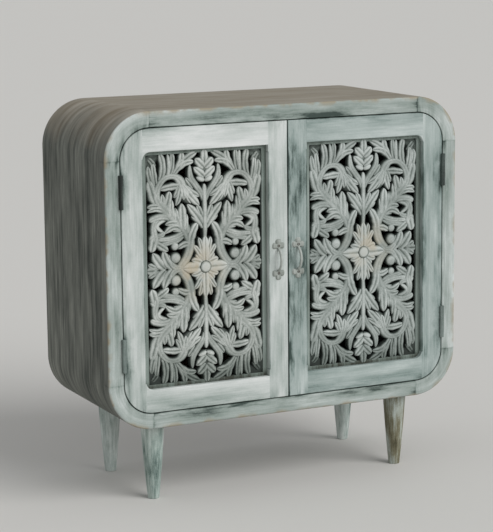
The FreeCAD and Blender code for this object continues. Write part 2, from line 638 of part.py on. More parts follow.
def pull_handle():
    """A bowed bar between two three-lobed end plates, cast in one, and its two screws."""
    half = HANDLE_SCREW_SPACING / 2
    face = FRONT - HANDLE_PLATE
    lobes = []
    heads = []
    for end in (-1, 1):
        centre = Vector(HANDLE_X, FRONT, HANDLE_Z + end * half)
        lobes.append(rod(HANDLE_BOSS / 2, centre, Y * -1, HANDLE_PLATE))
        for way in (X, X * -1, Z * end):
            lobes.append(rod(HANDLE_LOBE / 2, centre + way * HANDLE_LOBE_REACH, Y * -1, HANDLE_PLATE))
        heads.append(Vector(HANDLE_X, face, HANDLE_Z + end * half))
    foot = half - HANDLE_BOSS / 2 + HANDLE_BAR / 4
    crown = FRONT - HANDLE_REACH + HANDLE_BAR / 2
    start = Vector(HANDLE_X, FRONT - HANDLE_PLATE / 2, HANDLE_Z - foot)
    end = Vector(HANDLE_X, FRONT - HANDLE_PLATE / 2, HANDLE_Z + foot)
    path = Part.Wire(Part.Arc(start, Vector(HANDLE_X, crown, HANDLE_Z), end).toShape())
    edge = path.Edges[0]
    section = Part.Wire(Part.makeCircle(HANDLE_BAR / 2, start, edge.tangentAt(edge.FirstParameter)))
    bar = path.makePipeShell([section], True, False)
    door_side = block(
        HANDLE_X - HANDLE_BAR, HANDLE_X + HANDLE_BAR, FRONT, FRONT + HANDLE_BAR,
        HANDLE_Z - half, HANDLE_Z + half)
    holes = [screw_hole(head, Y, HANDLE_SCREW_LENGTH) for head in heads]
    screws = [wood_screw(head, Y, HANDLE_SCREW_LENGTH) for head in heads]
    return without(joined([bar.cut(door_side), *lobes]), holes), screws, holes


def shelf_and_cleats(pieces):
    """A loose shelf on two cleats that are screwed to the side panels."""
    inner = HALF - BOARD
    front, end = DOOR_BACK + SHELF_SETBACK, BACK_PANEL_FRONT - SHELF_CLEARANCE
    reach = inner - SHELF_CLEARANCE
    pieces["shelf"] = block(-reach, reach, front, end, SHELF_BOTTOM, SHELF_TOP)
    cleat = block(-inner, -inner + CLEAT, front, end, SHELF_BOTTOM - CLEAT, SHELF_BOTTOM)
    z = SHELF_BOTTOM - CLEAT / 2
    heads = [Vector(-inner + CLEAT, y, z) for y in (front + CLEAT_END, end - CLEAT_END)]
    holes = [screw_hole(head, X * -1, CLEAT_SCREW_LENGTH) for head in heads]
    screws = [wood_screw(head, X * -1, CLEAT_SCREW_LENGTH) for head in heads]
    pieces["left_shelf_cleat"] = without(cleat, holes)
    pieces["right_shelf_cleat"] = mirrored(pieces["left_shelf_cleat"])
    pieces["left_side_panel"] = without(pieces["left_side_panel"], holes)
    pieces["right_side_panel"] = without(pieces["right_side_panel"], [mirrored(h) for h in holes])
    pieces["cleat_screws"] = Part.makeCompound(screws + [mirrored(s) for s in screws])


def legs(pieces):
    """Four turned, tapered legs, each on a bolt through the bottom panel with a washer and a nut."""
    r_top, r_foot, r_bolt = LEG_TOP / 2, LEG_FOOT / 2, BOLT / 2
    inside = BOTTOM + BOARD
    profile = Part.makePolygon([
        Vector(0, 0, FLOOR),
        Vector(r_foot - LEG_FOOT_ROUND, 0, FLOOR),
        Vector(r_foot, 0, FLOOR + LEG_FOOT_ROUND),
        Vector(r_top, 0, BOTTOM),
        Vector(0, 0, BOTTOM),
        Vector(0, 0, FLOOR),
    ])
    turned = Part.Face(profile).revolve(Vector(0, 0, 0), Z, 360)
    bolt_top = inside + WASHER_THICKNESS + NUT_HEIGHT + BOLT_PAST_NUT
    bolt_low = BOTTOM - BOLT_IN_LEG
    bolt = rod(r_bolt, Vector(0, 0, bolt_low), Z, bolt_top - bolt_low)
    hole = rod(r_bolt + BOLT_CLEARANCE, Vector(0, 0, BOTTOM), Z, BOARD)
    washer = rod(WASHER / 2, Vector(0, 0, inside), Z, WASHER_THICKNESS)
    across = NUT_ACROSS_FLATS / math.sqrt(3)
    corners = [
        Vector(across * math.cos(math.radians(60 * k)), across * math.sin(math.radians(60 * k)),
               inside + WASHER_THICKNESS)
        for k in range(7)
    ]
    nut = Part.Face(Part.makePolygon(corners)).extrude(Z * NUT_HEIGHT)
    turned, washer, nut = turned.cut(bolt), washer.cut(bolt), nut.cut(bolt)
    x = HALF - LEG_INSET_X
    places = {
        "front_left_leg": Vector(-x, FRONT + LEG_INSET_Y, 0),
        "front_right_leg": Vector(x, FRONT + LEG_INSET_Y, 0),
        "back_left_leg": Vector(-x, BACK - LEG_INSET_Y, 0),
        "back_right_leg": Vector(x, BACK - LEG_INSET_Y, 0),
    }
    for name, place in places.items():
        pieces[name] = turned.translated(place)
    for name, shape in {"leg_bolts": bolt, "leg_washers": washer, "leg_nuts": nut}.items():
        pieces[name] = Part.makeCompound([shape.translated(place) for place in places.values()])
    holes = [hole.translated(place) for place in places.values()]
    pieces["bottom_panel"] = without(pieces["bottom_panel"], holes)


def catch(pieces):
    """A magnetic catch under the top panel. It returns the left door's strike plate."""
    face = DOOR_BACK + STRIKE_THICKNESS + CATCH_CLEARANCE
    under = TOP - BOARD
    body = block(
        -CATCH_WIDTH / 2, CATCH_WIDTH / 2, face, face + CATCH_DEPTH, under - CATCH_HEIGHT, under)
    pole_z = under - CATCH_HEIGHT + MAGNET_HEIGHT / 2 + STRIKE_THICKNESS
    offset = CATCH_WIDTH / 2 - MAGNET_WIDTH / 2 - STRIKE_THICKNESS
    magnet = block(
        -offset - MAGNET_WIDTH / 2, -offset + MAGNET_WIDTH / 2, face, face + MAGNET_DEPTH,
        pole_z - MAGNET_HEIGHT / 2, pole_z + MAGNET_HEIGHT / 2)
    magnets = [magnet, mirrored(magnet)]
    head_z = under - CATCH_HEIGHT
    length = CATCH_HEIGHT + CATCH_SCREW_LENGTH
    head = Vector(0, face + CATCH_DEPTH / 2, head_z)
    pieces["magnetic_catch"] = without(body, [screw_hole(head, Z, length), *magnets])
    pieces["catch_magnets"] = Part.makeCompound(magnets)
    pieces["catch_screw"] = wood_screw(head, Z, length)
    pieces["top_panel"] = without(pieces["top_panel"], [screw_hole(head, Z, length)])
    return block(
        -offset - STRIKE_WIDTH / 2, -offset + STRIKE_WIDTH / 2, DOOR_BACK, DOOR_BACK + STRIKE_THICKNESS,
        pole_z - STRIKE_HEIGHT / 2, pole_z + STRIKE_HEIGHT / 2)


def doors(pieces):
    """Both doors with their hinges, panels, beads and handles. The right door mirrors the left one."""
    frame = door_frame()
    heights = {
        "upper": DOOR_TOP - HINGE_FROM_DOOR_END - HINGE_LENGTH,
        "lower": DOOR_BOTTOM + HINGE_FROM_DOOR_END,
    }
    hinges = {name: hinge(z) for name, z in heights.items()}
    for made in hinges.values():
        frame["hinge_stile"] = without(frame["hinge_stile"], made["recesses"][1])
        pieces["frame_left_stile"] = without(pieces["frame_left_stile"], made["recesses"][0])
        pieces["frame_right_stile"] = without(
            pieces["frame_right_stile"], [mirrored(r) for r in made["recesses"][0]])
    handle, handle_screws, handle_holes = pull_handle()
    frame["meeting_stile"] = without(frame["meeting_stile"], handle_holes)
    left = dict(frame)
    left["carved_panel"] = carved_panel()
    left["panel_beads"] = panel_beads()
    left["hinge_leaves"] = Part.makeCompound([h["leaves"][1] for h in hinges.values()])
    left["hinge_screws"] = Part.makeCompound([s for h in hinges.values() for s in h["screws"][1]])
    left["pull_handle"] = handle
    left["handle_screws"] = Part.makeCompound(handle_screws)
    left["strike_plate"] = catch(pieces)
    for name, shape in left.items():
        pieces["left_door_" + name] = shape
        pieces["right_door_" + name] = mirrored(shape)
    leaves = Part.makeCompound([h["leaves"][0] for h in hinges.values()])
    pieces["left_frame_hinge_leaves"] = leaves
    pieces["right_frame_hinge_leaves"] = mirrored(leaves)
    pins = [h["pin"] for h in hinges.values()]
    pieces["hinge_pins"] = Part.makeCompound(pins + [mirrored(p) for p in pins])
    screws = [s for h in hinges.values() for s in h["screws"][0]]
    pieces["frame_hinge_screws"] = Part.makeCompound(screws + [mirrored(s) for s in screws])


def sideboard():
    """Every piece of the sideboard by name."""
    pieces = carcass()
    pieces.update(face_frame())
    back(pieces)
    shelf_and_cleats(pieces)
    legs(pieces)
    doors(pieces)
    return pieces


os.makedirs("parts", exist_ok=True)
for node, shape in sideboard().items():
    shape.exportStep(os.path.join("parts", node + ".step"))
    print(node, len(shape.Solids), "solids, valid" if shape.isValid() else "solids, NOT VALID",
          round(shape.Volume / 1000, 1), "cm3")
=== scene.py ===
"""A carved two-door sideboard in brushed, worn paint, dressed over its CAD frame. Metres, +Z up."""

import math

import bmesh
import bpy
from mathutils import Matrix, Vector


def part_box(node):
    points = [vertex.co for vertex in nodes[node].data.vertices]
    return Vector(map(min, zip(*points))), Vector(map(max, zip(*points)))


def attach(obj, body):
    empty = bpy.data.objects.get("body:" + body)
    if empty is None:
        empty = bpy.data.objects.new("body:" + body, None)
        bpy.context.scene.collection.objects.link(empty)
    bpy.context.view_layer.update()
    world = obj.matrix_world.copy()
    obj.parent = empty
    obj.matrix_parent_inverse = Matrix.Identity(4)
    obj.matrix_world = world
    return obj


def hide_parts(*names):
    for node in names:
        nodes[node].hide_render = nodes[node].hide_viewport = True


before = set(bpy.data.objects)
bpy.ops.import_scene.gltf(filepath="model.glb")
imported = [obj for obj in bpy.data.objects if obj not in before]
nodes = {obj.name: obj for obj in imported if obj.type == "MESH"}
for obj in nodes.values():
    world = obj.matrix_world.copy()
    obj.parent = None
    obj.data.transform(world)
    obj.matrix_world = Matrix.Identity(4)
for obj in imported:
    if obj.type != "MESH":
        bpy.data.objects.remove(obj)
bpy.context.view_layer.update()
MM = 0.001

# The case: a top, two sides and a bottom of glued softwood boards, joined by coopered quarter-round corners.
# A wide brush laid grey-green paint on it, up the sides and round the corners in one sweep.
# The top is rubbed back, and has turned to a brownish beige.
side_low, side_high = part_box("left_side_panel")
front_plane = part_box("frame_top_rail")[0].y
top_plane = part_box("top_panel")[1].z
under_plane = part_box("bottom_panel")[0].z
case_half_width = -side_low.x
case_middle = (top_plane + under_plane) / 2
case_half_height = (top_plane - under_plane) / 2
corner_radius = top_plane - side_high.z
straight_half_width = case_half_width - corner_radius
straight_half_height = case_half_height - corner_radius


def linear(hex_colour):
    """An sRGB hex colour as linear RGBA."""
    values = [int(hex_colour[k:k + 2], 16) / 255 for k in (1, 3, 5)]
    return [v / 12.92 if v <= 0.04045 else ((v + 0.055) / 1.055) ** 2.4 for v in values] + [1.0]


def add(tree, kind, inputs, **settings):
    """Adds a shader node with its settings. Each input is a value, or a socket to link."""
    node = tree.nodes.new("ShaderNode" + kind)
    for name, value in settings.items():
        setattr(node, name, value)
    for name, value in inputs.items():
        if isinstance(value, bpy.types.NodeSocket):
            tree.links.new(value, node.inputs[name])
        else:
            node.inputs[name].default_value = value
    return node


def new_finish(name, roughness):
    """A material, with its node tree, its shader and the piece's own coordinates."""
    material = bpy.data.materials.new(name)
    material.use_nodes = True
    tree = material.node_tree
    shader = tree.nodes["Principled BSDF"]
    shader.inputs["Roughness"].default_value = roughness
    shader.inputs["Specular IOR Level"].default_value = 0.35
    return material, tree, shader, add(tree, "TexCoord", {}).outputs["Object"]


def rounded_outline(tree, place, half_width, half_height, radius):
    """A point's depth inside a rounded rectangle about the case's middle, and its way along the outline."""
    split = add(tree, "SeparateXYZ", {0: place}).outputs
    lift = add(tree, "Math", {0: split[2], 1: case_middle}, operation="SUBTRACT").outputs[0]
    across = add(tree, "Math", {0: split[0]}, operation="ABSOLUTE").outputs[0]
    up = add(tree, "Math", {0: lift}, operation="ABSOLUTE").outputs[0]
    x = add(tree, "Math", {0: across, 1: half_width - radius}, operation="SUBTRACT").outputs[0]
    z = add(tree, "Math", {0: up, 1: half_height - radius}, operation="SUBTRACT").outputs[0]
    x_out = add(tree, "Math", {0: x, 1: 0.0}, operation="MAXIMUM").outputs[0]
    z_out = add(tree, "Math", {0: z, 1: 0.0}, operation="MAXIMUM").outputs[0]
    corner = add(tree, "CombineXYZ", {0: x_out, 2: z_out}).outputs[0]
    away = add(tree, "VectorMath", {0: corner}, operation="LENGTH").outputs["Value"]
    larger = add(tree, "Math", {0: x, 1: z}, operation="MAXIMUM").outputs[0]
    inner = add(tree, "Math", {0: larger, 1: 0.0}, operation="MINIMUM").outputs[0]
    reach = add(tree, "Math", {0: away, 1: inner}, operation="ADD").outputs[0]
    depth = add(tree, "Math", {0: radius, 1: reach}, operation="SUBTRACT").outputs[0]
    turn = add(tree, "Math", {0: z_out, 1: x_out}, operation="ARCTAN2").outputs[0]
    below = add(tree, "Math", {0: z, 1: 0.0}, operation="MINIMUM").outputs[0]
    way = add(tree, "Math", {0: turn, 1: radius, 2: below}, operation="MULTIPLY_ADD").outputs[0]
    way = add(tree, "Math", {0: way, 1: half_height - radius}, operation="ADD").outputs[0]
    end = add(tree, "Math", {0: lift}, operation="SIGN").outputs[0]
    return depth, add(tree, "Math", {0: way, 1: end}, operation="MULTIPLY").outputs[0]


BRUSH_STROKES = ((70 * MM, 320 * MM, 1.1), (32 * MM, 120 * MM, 0.8), (10 * MM, 190 * MM, 0.55),
                 (3.5 * MM, 110 * MM, 0.45))
GRIT_SIZE, GRIT_WEIGHT = 2 * MM, 0.3
OTHER_SIDE = 3.7
THINNEST_COAT, THICKEST_COAT = 0.1, 0.9
RIDGE_HEIGHT, RIDGE_STRENGTH = 0.4 * MM, 0.3


def brush_level(tree, place, strokes, cover, contrast, layers=BRUSH_STROKES):
    """How thickly the last coat lies, about 0 to 1: long brush strokes, broad and narrow, and a fine grit."""
    way, long_axis = place, {"level": 0, "deep": 1, "upright": 2, "round": 2}[strokes]
    if strokes == "round":
        depth, along = rounded_outline(tree, place, case_half_width, case_half_height, corner_radius)
        split = add(tree, "SeparateXYZ", {0: place}).outputs
        side = add(tree, "Math", {0: split[0]}, operation="SIGN").outputs[0]
        depth = add(tree, "Math", {0: side, 1: OTHER_SIDE, 2: depth}, operation="MULTIPLY_ADD").outputs[0]
        way = add(tree, "CombineXYZ", {0: depth, 1: split[1], 2: along}).outputs[0]
    level = cover - 0.5 * contrast * (sum(layer[2] for layer in layers) + GRIT_WEIGHT)
    for width, length, weight in layers:
        scale = [1 / width] * 3
        scale[long_axis] = 1 / length
        stretched = add(tree, "VectorMath", {0: way, 1: scale}, operation="MULTIPLY").outputs[0]
        streak = add(tree, "TexNoise", {"Vector": stretched, "Scale": 1.0, "Detail": 3.0, "Roughness": 0.6})
        level = add(tree, "Math", {0: streak.outputs[0], 1: contrast * weight, 2: level},
                    operation="MULTIPLY_ADD").outputs[0]
    grit = add(tree, "TexNoise", {"Vector": place, "Scale": 1 / GRIT_SIZE, "Detail": 3.0, "Roughness": 0.6})
    return add(tree, "Math", {0: grit.outputs[0], 1: contrast * GRIT_WEIGHT, 2: level},
               operation="MULTIPLY_ADD").outputs[0]


def coat_colour(tree, level, coats):
    """The paint's colour: from the ground where it is rubbed thin to the last coat where it is thick."""
    ramp = add(tree, "ValToRGB", {0: level})
    stops = ramp.color_ramp.elements
    step = (THICKEST_COAT - THINNEST_COAT) / (len(coats) - 1)
    for number, coat in enumerate(coats):
        stops.new(THINNEST_COAT + step * number).color = linear(coat)
    stops.remove(stops[-1])
    stops.remove(stops[0])
    return ramp.outputs[0]


def lay_paint(tree, shader, colour, level):
    """Puts the colour on the shader, with the low ridges that the brush left."""
    tree.links.new(colour, shader.inputs["Base Color"])
    bump = add(tree, "Bump", {"Height": level, "Strength": RIDGE_STRENGTH, "Distance": RIDGE_HEIGHT})
    tree.links.new(bump.outputs[0], shader.inputs["Normal"])


CASE_STROKES = ((70 * MM, 320 * MM, 0.6), (32 * MM, 120 * MM, 0.7), (13 * MM, 260 * MM, 0.95),
                (5 * MM, 110 * MM, 0.6))
SIDE_COATS = ("#3e443f", "#5b5e58", "#72756e", "#8b8d85")
TOP_COATS = ("#7f7563", "#8e8677", "#989184", "#a69f92")
CASE_COVER = 0.5
BEIGE_CLOUD, BEIGE_DRIFT = 90 * MM, 120 * MM
BEIGE_STARTS, BEIGE_FULL = top_plane - 40 * MM, top_plane + 60 * MM


def case_colour(tree, place, level):
    """Grey-green on the sides, passing over the upper corners into the beige of the top."""
    lift = add(tree, "SeparateXYZ", {0: place}).outputs[2]
    cloud = add(tree, "TexNoise", {"Vector": place, "Scale": 1 / BEIGE_CLOUD, "Detail": 3.0}).outputs[0]
    height = add(tree, "Math", {0: cloud, 1: BEIGE_DRIFT, 2: lift}, operation="MULTIPLY_ADD").outputs[0]
    upper = add(tree, "MapRange", {0: height, 1: BEIGE_STARTS, 2: BEIGE_FULL},
                interpolation_type="SMOOTHSTEP").outputs[0]
    sides = coat_colour(tree, level, SIDE_COATS)
    top = coat_colour(tree, level, TOP_COATS)
    return add(tree, "Mix", {0: upper, 6: sides, 7: top}, data_type="RGBA").outputs[2]


def case_paint(name, strokes, contrast):
    """Matt paint on the case's boards, thin and streaky, with the grain telling through."""
    material, tree, shader, place = new_finish(name, roughness=0.75)
    level = brush_level(tree, place, strokes, CASE_COVER, contrast, CASE_STROKES)
    lay_paint(tree, shader, case_colour(tree, place, level), level)
    return material


def give(material, *node_names):
    """Gives CAD pieces their finish."""
    for node_name in node_names:
        data = nodes[node_name].data
        data.materials.clear()
        data.materials.append(material)


give(case_paint("rubbed_top_paint", "level", 1.0), "top_panel", "bottom_panel")
give(case_paint("swept_side_paint", "round", 1.4), "left_side_panel", "right_side_panel", "top_left_corner",
     "top_right_corner", "bottom_left_corner", "bottom_right_corner")

# Shelf, cleats, dowels, panel beads and the thin back: planed softwood, stained dark brown, not painted.
# The grain runs along the boards, and shows as fine dark lines.
GRAIN_WIDTH, GRAIN_LENGTH = 3 * MM, 160 * MM
LATE_WOOD, EARLY_WOOD = 0.35, 0.66


def stained_wood(name, light, dark):
    """Oiled softwood: long dark late-wood lines in a warm brown, with a soft sheen."""
    material, tree, shader, place = new_finish(name, roughness=0.6)
    scale = (1 / GRAIN_LENGTH, 1 / GRAIN_WIDTH, 1 / GRAIN_WIDTH)
    stretched = add(tree, "VectorMath", {0: place, 1: scale}, operation="MULTIPLY").outputs[0]
    grain = add(tree, "TexNoise", {
        "Vector": stretched, "Scale": 1.0, "Detail": 5.0, "Roughness": 0.6, "Distortion": 0.4}).outputs[0]
    tone = add(tree, "MapRange", {0: grain, 1: LATE_WOOD, 2: EARLY_WOOD}).outputs[0]
    colour = add(tree, "Mix", {0: tone, 6: linear(dark), 7: linear(light)}, data_type="RGBA").outputs[2]
    lay_paint(tree, shader, colour, grain)
    return material


inside_wood = stained_wood("dark_stained_softwood", "#5d4a37", "#38291d")
give(inside_wood, "shelf", "left_shelf_cleat", "right_shelf_cleat", "carcass_dowels", "back_panel",
     "left_door_panel_beads", "right_door_panel_beads")

# The face frame: rails, stiles and quarter-round corners with eased edges, glued to the case's front.
# Pale grey-green paint lies over a darker green, brushed along each piece. The joints and the gap round the
# doors have kept dark grime, and the outer edge is rubbed to bare wood in places.
FRAME_COATS = ("#3a4843", "#89958f", "#abb4b0", "#cdd3d1")
FRAME_CONTRAST = 0.75
FRAME_BAND, DOOR_GAP = 36 * MM, 2 * MM
SMUDGE_WIDTH, SMUDGE_LENGTH = 18 * MM, 95 * MM
CLEAN, DIRTY = 0.42, 0.8
LINE_STARTS, LINE_FULL = 3 * MM, 1 * MM
GAP_LINE = {"level": 0.25, "round": 0.2, "upright": 0.08}
FRAME_SMUDGES = {"level": 0.85, "round": 0.5, "upright": 0.5}
FRAME_REACH = 34 * MM
JOINT_LINE, JOINT_SMUDGES, JOINT_REACH = 0.1, 0.4, 20 * MM
BARE_WOOD = "#9a8f79"
CHIP_SIZE, CHIP_DEPTH, CHIP_PUSH = 45 * MM, 14 * MM, 0.16
CHIP_STARTS, CHIP_FULL, CHIP_STRENGTH = 0.58, 0.72, 0.9
OUTER_FACE_STARTS, OUTER_FACE_FULL = front_plane + 2 * MM, front_plane + 5 * MM
gap_depth = FRAME_BAND + DOOR_GAP / 2


def distance_from(tree, value, middle):
    """How far a value lies from a given one."""
    off = add(tree, "Math", {0: value, 1: middle}, operation="SUBTRACT").outputs[0]
    return add(tree, "Math", {0: off}, operation="ABSOLUTE").outputs[0]


def grime_beside(tree, place, strokes, level, away, line, smudges, reach):
    """Thins the paint to the dark ground beside a line: a fine dark edge, and smudges brushed along it."""
    edge = add(tree, "MapRange", {0: away, 1: LINE_STARTS, 2: LINE_FULL, 4: line}).outputs[0]
    scale = [1 / SMUDGE_WIDTH] * 3
    scale[0 if strokes == "level" else 2] = 1 / SMUDGE_LENGTH
    stretched = add(tree, "VectorMath", {0: place, 1: scale}, operation="MULTIPLY").outputs[0]
    smudge = add(tree, "TexNoise", {"Vector": stretched, "Scale": 1.0, "Detail": 5.0, "Roughness": 0.6})
    dirty = add(tree, "MapRange", {0: smudge.outputs[0], 1: CLEAN, 2: DIRTY, 4: smudges}).outputs[0]
    near = add(tree, "MapRange", {0: away, 1: reach, 2: LINE_FULL}).outputs[0]
    dark = add(tree, "Math", {0: near, 1: dirty, 2: edge}, operation="MULTIPLY_ADD").outputs[0]
    return add(tree, "Math", {0: level, 1: dark}, operation="SUBTRACT").outputs[0]


def frame_paint(name, strokes, cover):
    """Brushed, worn paint with dark joint lines, rubbed edges and the case's colour on the outer faces."""
    material, tree, shader, place = new_finish(name, roughness=0.7)
    level = brush_level(tree, place, strokes, cover, FRAME_CONTRAST)
    depth = rounded_outline(tree, place, case_half_width, case_half_height, corner_radius)[0]
    gap = distance_from(tree, depth, gap_depth)
    line, smudges = GAP_LINE[strokes], FRAME_SMUDGES[strokes]
    level = grime_beside(tree, place, strokes, level, gap, line, smudges, FRAME_REACH)
    split = add(tree, "SeparateXYZ", {0: place}).outputs
    for axis, middle, joint in ((0, 0.0, straight_half_width), (2, case_middle, straight_half_height)):
        away = distance_from(tree, distance_from(tree, split[axis], middle), joint)
        level = grime_beside(tree, place, strokes, level, away, JOINT_LINE, JOINT_SMUDGES, JOINT_REACH)
    colour = coat_colour(tree, level, FRAME_COATS)
    cloud = add(tree, "TexNoise", {"Vector": place, "Scale": 1 / CHIP_SIZE, "Detail": 4.0}).outputs[0]
    edge = add(tree, "MapRange", {0: depth, 1: CHIP_DEPTH, 2: LINE_FULL}).outputs[0]
    worn = add(tree, "Math", {0: edge, 1: CHIP_PUSH, 2: cloud}, operation="MULTIPLY_ADD").outputs[0]
    worn = add(tree, "MapRange", {0: worn, 1: CHIP_STARTS, 2: CHIP_FULL, 4: CHIP_STRENGTH}).outputs[0]
    worn = add(tree, "Math", {0: worn, 1: edge}, operation="MULTIPLY").outputs[0]
    colour = add(tree, "Mix", {0: worn, 6: colour, 7: linear(BARE_WOOD)}, data_type="RGBA").outputs[2]
    behind = add(tree, "MapRange", {0: split[1], 1: OUTER_FACE_STARTS, 2: OUTER_FACE_FULL}).outputs[0]
    outer = case_colour(tree, place, level)
    colour = add(tree, "Mix", {0: behind, 6: colour, 7: outer}, data_type="RGBA").outputs[2]
    lay_paint(tree, shader, colour, level)
    return material


give(frame_paint("brushed_rail_paint", "level", 0.58), "frame_top_rail", "frame_bottom_rail")
give(frame_paint("brushed_stile_paint", "upright", 0.57), "frame_left_stile")
give(frame_paint("paler_stile_paint", "upright", 0.66), "frame_right_stile")
give(frame_paint("swept_corner_paint", "round", 0.57), "frame_top_left_corner", "frame_top_right_corner",
     "frame_bottom_left_corner")
give(frame_paint("paler_corner_paint", "round", 0.63), "frame_bottom_right_corner")

# The doors: stiles and rails with mortise and tenon joints, flush with the face frame and painted as it is.
# The left door has more white on it, thickest at its top, and the right one more of the green below.
DOOR_COATS = {
    "left": ("#3f4f4a", "#9da8a3", "#c3c9c6", "#e0e2e1"),
    "right": ("#384944", "#889793", "#adb8b5", "#cfd6d4"),
}
DOOR_COVER, DOOR_CONTRAST = {"left": 0.54, "right": 0.46}, 0.65
WHITEST = {"left": (-70 * MM, 780 * MM), "right": (390 * MM, 780 * MM)}
WHITE_SHAPE, WHITE_REACH, WHITE_COVER = (1.0, 1.0, 0.5), 420 * MM, 0.21
DOOR_SMUDGES, DOOR_REACH = {"left": 0.4, "right": 0.55}, 32 * MM
MEETING_LINE, MEETING_SMUDGES, MEETING_REACH = 0.3, {"left": 0.25, "right": 1.1}, 45 * MM
RIM_DARKENING, RIM_REACH = {"left": 0.35, "right": 0.65}, 24 * MM
RIM_LINE, RIM_SHADE = 1.5 * MM, 0.4
HINGE_LENGTH = 76 * MM
STAIN_CLOUD, STAIN_SHADE = 30 * MM, 0.38
STAIN_THIN, STAIN_THICK = 0.3, 0.7
STAIN_LEAST, STAIN_MOST, STAIN_FULL = 12 * MM, 36 * MM, 2 * MM
hinges_low, hinges_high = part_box("left_door_hinge_leaves")
hinge_from_middle = (hinges_high.z - hinges_low.z - HINGE_LENGTH) / 2


def stains_by_hinges(tree, place, level, gap):
    """Thins the paint beside the hinges, where oil and hands have stained it."""
    lift = add(tree, "SeparateXYZ", {0: place}).outputs[2]
    off = distance_from(tree, distance_from(tree, lift, case_middle), hinge_from_middle)
    near = add(tree, "MapRange", {0: off, 1: HINGE_LENGTH, 2: HINGE_LENGTH / 3},
               interpolation_type="SMOOTHSTEP").outputs[0]
    cloud = add(tree, "TexNoise", {"Vector": place, "Scale": 1 / STAIN_CLOUD, "Detail": 4.0}).outputs[0]
    reach = add(tree, "MapRange", {
        0: cloud, 1: STAIN_THIN, 2: STAIN_THICK, 3: STAIN_LEAST, 4: STAIN_MOST}).outputs[0]
    beside = add(tree, "MapRange", {0: gap, 1: reach, 2: STAIN_FULL, 4: STAIN_SHADE}).outputs[0]
    stain = add(tree, "Math", {0: near, 1: beside}, operation="MULTIPLY").outputs[0]
    return add(tree, "Math", {0: level, 1: stain}, operation="SUBTRACT").outputs[0]


def door_paint(name, strokes, side, opening):
    """Brushed paint: grimy at the outer edge, darker by the opening, with a painted shadow line on its rim.
    """
    material, tree, shader, place = new_finish(name, roughness=0.7)
    level = brush_level(tree, place, strokes, DOOR_COVER[side], DOOR_CONTRAST)
    depth = rounded_outline(tree, place, case_half_width, case_half_height, corner_radius)[0]
    gap = distance_from(tree, depth, gap_depth)
    line, smudges = GAP_LINE[strokes], DOOR_SMUDGES[side]
    level = grime_beside(tree, place, strokes, level, gap, line, smudges, DOOR_REACH)
    level = stains_by_hinges(tree, place, level, gap)
    white_across, white_up = WHITEST[side]
    offset = add(tree, "VectorMath", {0: place, 1: (white_across, front_plane, white_up)},
                 operation="SUBTRACT").outputs[0]
    offset = add(tree, "VectorMath", {0: offset, 1: WHITE_SHAPE}, operation="MULTIPLY").outputs[0]
    away = add(tree, "VectorMath", {0: offset}, operation="LENGTH").outputs["Value"]
    white = add(tree, "MapRange", {0: away, 1: WHITE_REACH, 2: 0.0, 4: WHITE_COVER}).outputs[0]
    level = add(tree, "Math", {0: level, 1: white}, operation="ADD").outputs[0]
    split = add(tree, "SeparateXYZ", {0: place}).outputs
    across = add(tree, "Math", {0: split[0]}, operation="ABSOLUTE").outputs[0]
    smudges = MEETING_SMUDGES[side]
    level = grime_beside(tree, place, strokes, level, across, MEETING_LINE, smudges, MEETING_REACH)
    centre_x, half_width, half_height = opening
    off = distance_from(tree, across, centre_x)
    off = add(tree, "Math", {0: off, 1: half_width}, operation="SUBTRACT").outputs[0]
    up = distance_from(tree, split[2], case_middle)
    up = add(tree, "Math", {0: up, 1: half_height}, operation="SUBTRACT").outputs[0]
    beyond = add(tree, "Math", {0: off, 1: up}, operation="MAXIMUM").outputs[0]
    # Darker beside the panel's opening, with a painted shadow line along its rim.
    rim_away = distance_from(tree, beyond, RIM_LINE)
    level = grime_beside(tree, place, strokes, level, rim_away, 0.0, RIM_DARKENING[side], RIM_REACH)
    rim = add(tree, "MapRange", {0: rim_away, 1: RIM_LINE, 2: 0.0, 4: RIM_SHADE}).outputs[0]
    level = add(tree, "Math", {0: level, 1: rim}, operation="SUBTRACT").outputs[0]
    lay_paint(tree, shader, coat_colour(tree, level, DOOR_COATS[side]), level)
    return material


for side in DOOR_COATS:
    door = f"{side}_door_"
    stile_boxes = [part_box(door + piece) for piece in ("hinge_stile", "meeting_stile")]
    inner_edge, outer_edge = sorted(abs(corner.x) for box in stile_boxes for corner in box)[1:3]
    opening_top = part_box(door + "top_rail")[0].z
    opening = ((inner_edge + outer_edge) / 2, (outer_edge - inner_edge) / 2, opening_top - case_middle)
    give(door_paint(f"{side}_stile_paint", "upright", side, opening),
         door + "hinge_stile", door + "meeting_stile")
    give(door_paint(f"{side}_rail_paint", "level", side, opening), door + "top_rail", door + "bottom_rail")

# The carved panels: one board each, pierced and carved on the front with leaves, stems, buds and berries.
# Pale paint lies on the high wood and thins down the slopes. Painted shade darkens the flanks, veins, sunk
# pieces and walls further, so that the cuts are a near black green.
# A plain border laps behind the door's frame, where small beads hold it.
FIELD_HALF_WIDTH, FIELD_HALF_HEIGHT = 145.0, 265.0
